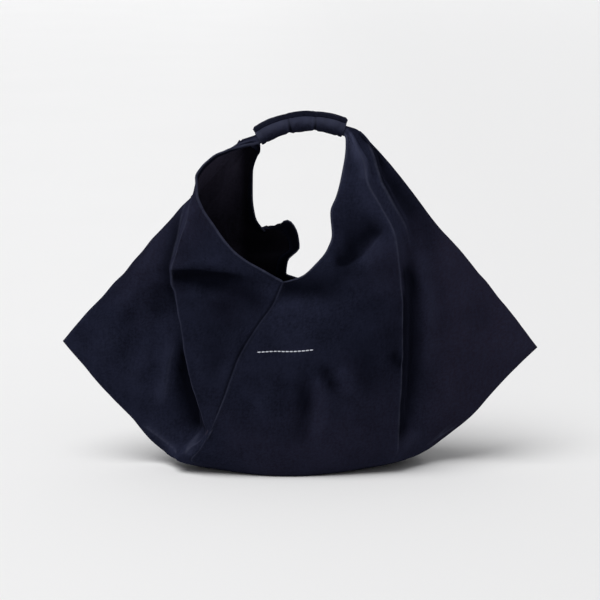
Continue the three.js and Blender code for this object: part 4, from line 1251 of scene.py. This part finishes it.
# Stretched out upwards, noise turns to upright streaks, and to puckers that are a little upright
STREAK_SCALE, PUCKER_SCALE = (1.0, 1.0, 0.16), (1.0, 1.0, 0.38)


def opaque(colour, scale=1.0, plus=0.0):
    """A colour times a number, and a little more of each part, with nothing let through."""
    return tuple(scale * value + plus for value in colour) + (1.0,)


class Graph:
    """A node material with a Principled shader, and short ways to add nodes to it. Inputs are values or
    other nodes' outputs."""

    def __init__(self, name):
        self.material = bpy.data.materials.new(name)
        self.material.use_nodes = True
        self.material.node_tree.nodes.clear()
        self.shader = self.node("BsdfPrincipled")
        self.node("OutputMaterial", {"Surface": self.shader.outputs["BSDF"]})
        self.place = self.node("TexCoord").outputs["Object"]

    def node(self, kind, inputs=None, **settings):
        """A new node with its settings and inputs."""
        node = self.material.node_tree.nodes.new("ShaderNode" + kind)
        for name, value in settings.items():
            setattr(node, name, value)
        self.feed(node, inputs or {})
        return node

    def feed(self, node, inputs):
        """Sets a node's inputs that are in use, by name or number."""
        for name, value in inputs.items():
            socket = node.inputs[name] if isinstance(name, int) else next(
                s for s in node.inputs if s.name == name and s.enabled
            )
            if isinstance(value, bpy.types.NodeSocket):
                self.material.node_tree.links.new(value, socket)
            else:
                socket.default_value = value

    def attribute(self, name):
        return self.node("Attribute", attribute_name=name).outputs["Fac"]

    def axis(self, source, name):
        return self.node("SeparateXYZ", {"Vector": source}).outputs[name]

    def scaled(self, source, scale):
        return self.node("Mapping", {"Vector": source, "Scale": scale}).outputs["Vector"]

    def noise(self, source, scale, detail=2.0, roughness=0.5, output="Fac"):
        inputs = {"Vector": source, "Scale": scale, "Detail": detail, "Roughness": roughness}
        return self.node("TexNoise", inputs).outputs[output]

    def blend(self, share, low, high):
        """A colour between two others."""
        node = self.node("Mix", {"A": low, "B": high, "Factor": share}, data_type="RGBA")
        return next(s for s in node.outputs if s.enabled)

    def ramp(self, value, low, high, to_low=0.0, to_high=1.0, kind="SMOOTHSTEP"):
        """A value's place between two others, as a smooth or straight step between two results."""
        names = ("Value", "From Min", "From Max", "To Min", "To Max")
        inputs = dict(zip(names, (value, low, high, to_low, to_high)))
        return self.node("MapRange", inputs, interpolation_type=kind).outputs["Result"]

    def math(self, operation, first, second=0.0):
        return self.node("Math", {0: first, 1: second}, operation=operation).outputs["Value"]

    def times(self, first, second):
        return self.math("MULTIPLY", first, second)

    def bump(self, height, strength, distance, normal=None):
        inputs = {"Height": height, "Strength": strength, "Distance": distance}
        if normal:
            inputs["Normal"] = normal
        return self.node("Bump", inputs).outputs["Normal"]


def weave(g, thread):
    """The place on the cloth, and the height of a plain weave there: two sets of threads at right
    angles whose waves multiply, a little uneven."""
    flat = g.node("UVMap", uv_map="cloth").outputs["UV"]
    wander = g.noise(flat, 0.02 / thread, output="Color")
    inputs = {0: wander, 1: (thread * 0.8,) * 3, 2: flat}
    shifted = g.node("VectorMath", inputs, operation="MULTIPLY_ADD").outputs["Vector"]
    waves = [g.math("SINE", g.times(g.axis(shifted, axis), math.pi / thread)) for axis in ("X", "Y")]
    return flat, g.ramp(g.times(*waves), -1.0, 1.0)


def cloth_material(name, colour, worn, cast, thread, roughness, sheen, bump, wrinkle, painted_shade_span=None):
    """Woven cotton: threads as bump and faint colour, slow mottling with a colour cast here and there,
    fine upright streaks, paler worn folds and rims that are also a painted highlight, painted shade in
    hollows and painted highlight on swells, lint, small puckers and a faint sheen. Outer cloth has thin
    painted highlight and shade lines too; the lining is painted darker as shade between two places in x."""
    g = Graph(name)
    flat, threads = weave(g, thread)
    mottle = g.ramp(g.noise(g.place, 30.0, 5.0, 0.68), 0.36, 0.64)
    patches = g.ramp(g.noise(g.place, 5.0, 2.0, 0.5), 0.42, 0.62)
    grain = g.ramp(g.noise(flat, 330.0, 3.0, 0.75), 0.38, 0.62)
    lint = g.ramp(g.noise(flat, 620.0, 2.0, 0.7), 0.60, 0.80)
    patchy = g.ramp(g.noise(g.place, 90.0, 3.0, 0.65), 0.30, 0.70, 0.45, 1.0)
    streaks = g.ramp(g.noise(g.scaled(g.place, STREAK_SCALE), 420.0, 2.0, 0.6), 0.40, 0.66)
    wear = g.times(g.attribute("wear"), patchy)
    tone = g.attribute("tone")
    across = g.axis(g.place, "X")
    cast_on = g.times(g.math("MAXIMUM", g.times(patches, 0.6), g.ramp(across, 0.10, 0.17)), 0.8)
    deep, pale = opaque(colour, 0.22), opaque(colour, 2.2, 0.001)
    base = g.blend(mottle, opaque(colour, 0.70), opaque(colour, 1.30))
    layers = [
        (cast_on, opaque(cast)),
        (g.times(grain, 0.42), pale),
        (g.times(threads, 0.26), pale),
        (g.times(streaks, 0.20), pale),
        # Painted shade where the tone is below zero, and painted highlight where it is above
        (g.ramp(tone, 0.0, -1.0, 0.0, 0.92, "LINEAR"), deep),
        (g.ramp(tone, 0.0, 4.0, 0.0, 1.0, "LINEAR"), opaque(colour, 4.2, 0.008)),
        (g.times(lint, 0.35), pale),
        # Worn paleness, which on ridges, rims and crests is also a painted highlight
        (g.times(wear, 0.85), opaque(worn)),
    ]
    # The lining is painted darker as shade past the open peak; the outer cloth gets painted highlights along
    # crests and painted shade in creases
    if painted_shade_span:
        layers.append((g.ramp(across, *painted_shade_span, 0.0, 0.93), deep))
    else:
        thin = g.times(g.ramp(g.math("ABSOLUTE", g.attribute("line")), 0.1, 1.7, 1.0, 0.0), patchy)
        strength = g.attribute("strength")
        layers.append((g.times(thin, g.math("MAXIMUM", strength)), opaque(worn)))
        layers.append((g.times(thin, g.times(g.math("MINIMUM", strength), -1.0)), deep))
    for share, over in layers:
        base = g.blend(share, base, over)
    fuzz = g.times(g.noise(flat, 1500.0, 2.0, 0.6), 0.5)
    crumple = g.bump(g.noise(g.scaled(g.place, PUCKER_SCALE), 150.0, 3.0, 0.6), 0.8, wrinkle)
    g.feed(g.shader, {
        "Base Color": base,
        "Roughness": g.ramp(mottle, 0.0, 1.0, roughness - 0.04, roughness + 0.04),
        "Specular IOR Level": 0.0,
        "Sheen Weight": sheen,
        "Sheen Roughness": 0.40,
        "Sheen Tint": SHEEN_TINT,
        "Normal": g.bump(g.math("ADD", threads, fuzz), bump, 0.25 * MM, crumple),
    })
    return g.material


def navy_cloth(colours):
    """Heavy navy cotton, the outer cloth."""
    cast = [scale * value for scale, value in zip((1.75, 1.15, 1.0), colours.navy)]
    name, colour, worn = "tote_navy_cotton", colours.navy, colours.worn
    return cloth_material(name, colour, worn, cast, NAVY_THREAD, 0.90, 0.035, 0.50, 0.0013)


def dark_lining(colours):
    """Thin dark lining cloth with a faint warm cast, painted darker as shade past the open peak, from 73 to
    58 mm left.
    """
    name, colour = "tote_dark_lining", colours.lining
    worn = [1.6 * value for value in colour]
    cast = [1.2 * colour[0], colour[1], colour[2]]
    painted_shade_span = (-73 * MM, -58 * MM)
    return cloth_material(name, colour, worn, cast, FINE_THREAD, 0.74, 0.03, 0.30, 0.0010, painted_shade_span)


def hem_cloth(colours):
    """The outer cloth turned in along the mouth, painted as a shaded copy at 0.30 of the navy, its turned
    edge worn and painted with a highlight at 0.65 of it.
    """
    shaded = [0.30 * value for value in colours.navy]
    rubbed_and_lit = [0.65 * value for value in colours.navy]
    return cloth_material("tote_hem_cotton", shaded, rubbed_and_lit, shaded, NAVY_THREAD, 0.90, 0.04, 0.40, 0.0006)


def thread_material(name, colour, shine):
    """Twisted sewing thread: slanting plies on its own coordinates, with a slight shine."""
    g = Graph(name)
    wave = {"Vector": g.place, "Scale": 900.0, "Distortion": 2.0}
    plies = g.node("TexWave", wave, bands_direction="DIAGONAL").outputs["Fac"]
    g.feed(g.shader, {
        "Base Color": g.blend(plies, opaque(colour, 0.72), opaque(colour)),
        "Roughness": 0.75,
        "Specular IOR Level": 0.12,
        "Sheen Weight": shine,
        "Sheen Roughness": 0.4,
        "Normal": g.bump(plies, 0.5, 0.1 * MM),
    })
    return g.material


def navy_thread(colours):
    return thread_material("tote_navy_thread", colours.thread, 0.06)


def pale_thread(colours):
    return thread_material("tote_pale_thread", colours.mark, 0.2)


def floor_material(colour):
    """Matte studio paper, painted a little darker to the right as shade, with the faintest unevenness."""
    g = Graph("tote_paper")
    # Painted shade: the paper grows darker from left to right
    left, right = tuple(min(1.0, 1.015 * value) for value in colour) + (1.0,), opaque(colour, 0.955)
    base = g.blend(g.ramp(g.axis(g.place, "X"), -0.5, 0.5), left, right)
    tone = g.ramp(g.noise(g.place, 2.0), 0.3, 0.7, 0.0, 0.12)
    inputs = {"Base Color": g.blend(tone, base, right), "Roughness": 0.95, "Specular IOR Level": 0.1}
    g.feed(g.shader, inputs)
    return g.material


MAKERS = {
    "tote_navy_cotton": navy_cloth,
    "tote_dark_lining": dark_lining,
    "tote_hem_cotton": hem_cloth,
    "tote_navy_thread": navy_thread,
    "tote_pale_thread": pale_thread,
}


# Operators

class ToteStep:
    """What the steps share: each builds its pieces from the scene's sizes and colours."""

    def execute(self, context):
        self.scene = context.scene
        self.build(self.scene.tote_sizes)
        return {"FINISHED"}

    def material(self, name):
        """The material of that name, made once."""
        return bpy.data.materials.get(name) or MAKERS[name](self.scene.tote_colours)


class TOTE_OT_outer_cloth(ToteStep, bpy.types.Operator):
    """Make the outer cloth: both panels, sewn, folded and gathered, with rolled rims"""

    bl_idname = "tote.outer_cloth"
    bl_label = "Outer Cloth"

    def build(self, sizes):
        rolled = sizes.gap + sizes.lining
        piece = cloth_piece("outer_cloth", bag_surface(sizes), EVERYWHERE, 0.0, sizes.cloth, rolled=rolled)
        dress(piece, self.material("tote_navy_cotton"), ["left_panel", "right_panel"])


class TOTE_OT_lining(ToteStep, bpy.types.Operator):
    """Make the lining: a thin dark layer under the outer cloth, up to the facings"""

    bl_idname = "tote.lining"
    bl_label = "Lining"

    def build(self, sizes):
        top = sizes.cloth + sizes.gap
        surface = bag_surface(sizes, inside=True)
        piece = cloth_piece("lining_cloth", surface, (PANEL, BASE), top, top + sizes.lining)
        dress(piece, self.material("tote_dark_lining"), ["lining"])


class TOTE_OT_facings(ToteStep, bpy.types.Operator):
    """Make the two facings that edge the mouth on its inner side"""

    bl_idname = "tote.facings"
    bl_label = "Hem Facings"

    def build(self, sizes):
        surface = bag_surface(sizes)
        top = sizes.cloth + sizes.gap
        # The facings' turned edge is painted pale, as worn cloth and as a painted highlight
        turned_edge = np.zeros(surface.grids[0].shape[:2])
        turned_edge[:, [HEM_COLUMN - 1, HEM_COLUMN, -1 - HEM_COLUMN, -HEM_COLUMN]] = (0.5, 1.0, 1.0, 0.5)
        surface.wear[: 2 * turned_edge.size, 0] = np.tile(turned_edge.ravel(), 2)
        for side, patch in (("front", FRONT_HEM), ("back", BACK_HEM)):
            name = side + "_hem_facing"
            piece = cloth_piece(name, surface, (patch,), top, top + sizes.lining, margin=0.6 * MM)
            dress(piece, self.material("tote_hem_cotton"), [side + "_facing"])


class TOTE_OT_handle_wrap(ToteStep, bpy.types.Operator):
    """Make the handle's wrap, with its pinches and its standing free edge"""

    bl_idname = "tote.handle_wrap"
    bl_label = "Handle Wrap"

    def build(self, sizes):
        line, away = wrap_piece(sizes, self.material("tote_navy_cotton"))
        places = spaced(line, away, sizes.stitch, 1.0 * MM)
        spots, quads = stitches(places, sizes.stitch, 0.32 * MM, 0.3 * MM, 0.0)
        dress(put_mesh("wrap_stitches", spots, quads), self.material("tote_navy_thread"), [])


class TOTE_OT_stitches(ToteStep, bpy.types.Operator):
    """Make the stitches along the rims and seams"""

    bl_idname = "tote.stitches"
    bl_label = "Hem and Seam Stitches"

    def build(self, sizes):
        length, thick = sizes.stitch, 0.26 * MM
        spots, quads = joined([
            stitches(spaced(line, ways, length, 1.2 * MM), length, thick, thick, 0.18 * MM)
            for line, ways in hem_lines(bag_surface(sizes))
        ])
        dress(put_mesh("hem_stitches", spots, quads), self.material("tote_navy_thread"), [])


# The row of pale running stitches on the front: its two ends seen from the front, and its stitches
MARK_START, MARK_END = (-45.6 * MM, 140.6 * MM), (14.2 * MM, 144.2 * MM)
MARK_COUNT = 14
MARK_LENGTH, MARK_WIDTH, MARK_HEIGHT = 4.15 * MM, 0.62 * MM, 0.5 * MM


class TOTE_OT_front_mark(ToteStep, bpy.types.Operator):
    """Make the short row of pale running stitches on the front panel"""

    bl_idname = "tote.front_mark"
    bl_label = "Front Stitches"

    def build(self, sizes):
        share = (np.arange(MARK_COUNT) + 0.5) / MARK_COUNT
        x, z = (start + (end - start) * share for start, end in zip(MARK_START, MARK_END))
        z = z + 0.35 * MM * np.sin(2.2 * math.pi * share)
        middle, out = on_front(bag_surface(sizes), x, z)
        along = unit(np.gradient(middle, axis=0))
        spots, quads = stitches((middle, along, out), MARK_LENGTH, MARK_WIDTH, MARK_HEIGHT, 0.0)
        dress(put_mesh("front_stitches", spots, quads), self.material("tote_pale_thread"), [])


# The studio: a sheet of paper that curves up behind the bag, a soft light, even air and the camera
CAMERA_DISTANCE = 2.6
CAMERA_RISE = math.radians(10)
CAMERA_LENS = 142.8
CAMERA_TARGET = 0.1836
PAPER_HALF, PAPER_FLAT, PAPER_CURVE, PAPER_TOP = 16.0, 14.0, 2.0, 6.0
LIGHT_PLACE = (-1.2, -1.9, 4.4)
LIGHT_AIM = (0.0, 0.0, 0.18)
LIGHT_SPREAD = math.radians(46)
LIGHT_POWER = 2.36
AIR_POWER = 0.35


class TOTE_OT_stage(ToteStep, bpy.types.Operator):
    """Make the studio: floor, backdrop, light, world and camera"""

    bl_idname = "tote.stage"
    bl_label = "Studio"

    def build(self, sizes):
        self.paper()
        self.light()
        world = bpy.data.worlds.new("studio_air")
        world.use_nodes = True
        air = world.node_tree.nodes["Background"].inputs
        air["Color"].default_value = (1.0, 1.0, 1.0, 1.0)
        air["Strength"].default_value = AIR_POWER
        self.scene.world = world
        self.scene.view_settings.view_transform = "Standard"
        lens = bpy.data.cameras.new("camera")
        lens.lens = CAMERA_LENS
        lens.sensor_width = 36.0
        back, up = CAMERA_DISTANCE * math.cos(CAMERA_RISE), CAMERA_DISTANCE * math.sin(CAMERA_RISE)
        turn = (math.pi / 2 - CAMERA_RISE, 0.0, 0.0)
        self.scene.camera = self.put("camera", lens, (0.0, -back, CAMERA_TARGET + up), turn)

    def put(self, name, data, place, turn):
        """A new object in the scene."""
        piece = bpy.data.objects.new(name, data)
        piece.location = place
        piece.rotation_euler = turn
        self.scene.collection.objects.link(piece)
        return piece

    def paper(self):
        """A wide sheet, flat under the bag, that curves up far behind it."""
        turn = np.linspace(0, math.pi / 2, 17)[1:]
        y = np.concatenate([[-PAPER_HALF, PAPER_FLAT], PAPER_FLAT + PAPER_CURVE * np.sin(turn), [PAPER_HALF]])
        z = np.concatenate([[0.0, 0.0], PAPER_CURVE - PAPER_CURVE * np.cos(turn), [PAPER_TOP]])
        spots = points(np.array([[-PAPER_HALF], [PAPER_HALF]]), y, z).reshape(-1, 3)
        paper = put_mesh("studio_paper", spots, face_grid(np.arange(len(spots)).reshape(2, -1), False))
        paper.data.materials.append(floor_material(self.scene.tote_colours.floor))

    def light(self):
        """A soft, even light towards the bag, as wide in the sky as its spread."""
        lamp = bpy.data.lights.new("key", "SUN")
        lamp.angle = LIGHT_SPREAD
        lamp.energy = LIGHT_POWER
        way = np.array(LIGHT_AIM) - np.array(LIGHT_PLACE)
        tilt = math.atan2(math.hypot(way[0], way[1]), -way[2])
        self.put("key", lamp, LIGHT_PLACE, (tilt, 0.0, math.atan2(way[1], way[0]) - math.pi / 2))


class TOTE_PT_panel(bpy.types.Panel):
    """The tote's sizes, colours and steps"""

    bl_idname = "TOTE_PT_panel"
    bl_label = "Folded Cloth Tote"
    bl_space_type = "VIEW_3D"
    bl_region_type = "UI"
    bl_category = "Tote"

    def draw(self, context):
        layout = self.layout
        for group in (context.scene.tote_sizes, context.scene.tote_colours):
            box = layout.box()
            for name in group.__annotations__:
                box.prop(group, name)
        for operator in OPERATORS:
            layout.operator(operator.bl_idname)


GROUPS = (ToteSizes, ToteColours)
OPERATORS = (
    TOTE_OT_outer_cloth, TOTE_OT_lining, TOTE_OT_facings, TOTE_OT_handle_wrap, TOTE_OT_stitches,
    TOTE_OT_front_mark, TOTE_OT_stage,
)


def register():
    for item in GROUPS + OPERATORS + (TOTE_PT_panel,):
        bpy.utils.register_class(item)
    bpy.types.Scene.tote_sizes = bpy.props.PointerProperty(type=ToteSizes)
    bpy.types.Scene.tote_colours = bpy.props.PointerProperty(type=ToteColours)


def unregister():
    del bpy.types.Scene.tote_colours
    del bpy.types.Scene.tote_sizes
    for item in reversed(GROUPS + OPERATORS + (TOTE_PT_panel,)):
        bpy.utils.unregister_class(item)


def main():
    register()
    bpy.ops.tote.outer_cloth()
    bpy.ops.tote.lining()
    bpy.ops.tote.facings()
    bpy.ops.tote.handle_wrap()
    bpy.ops.tote.stitches()
    bpy.ops.tote.front_mark()
    bpy.ops.tote.stage()


if __name__ == "__main__":
    main()
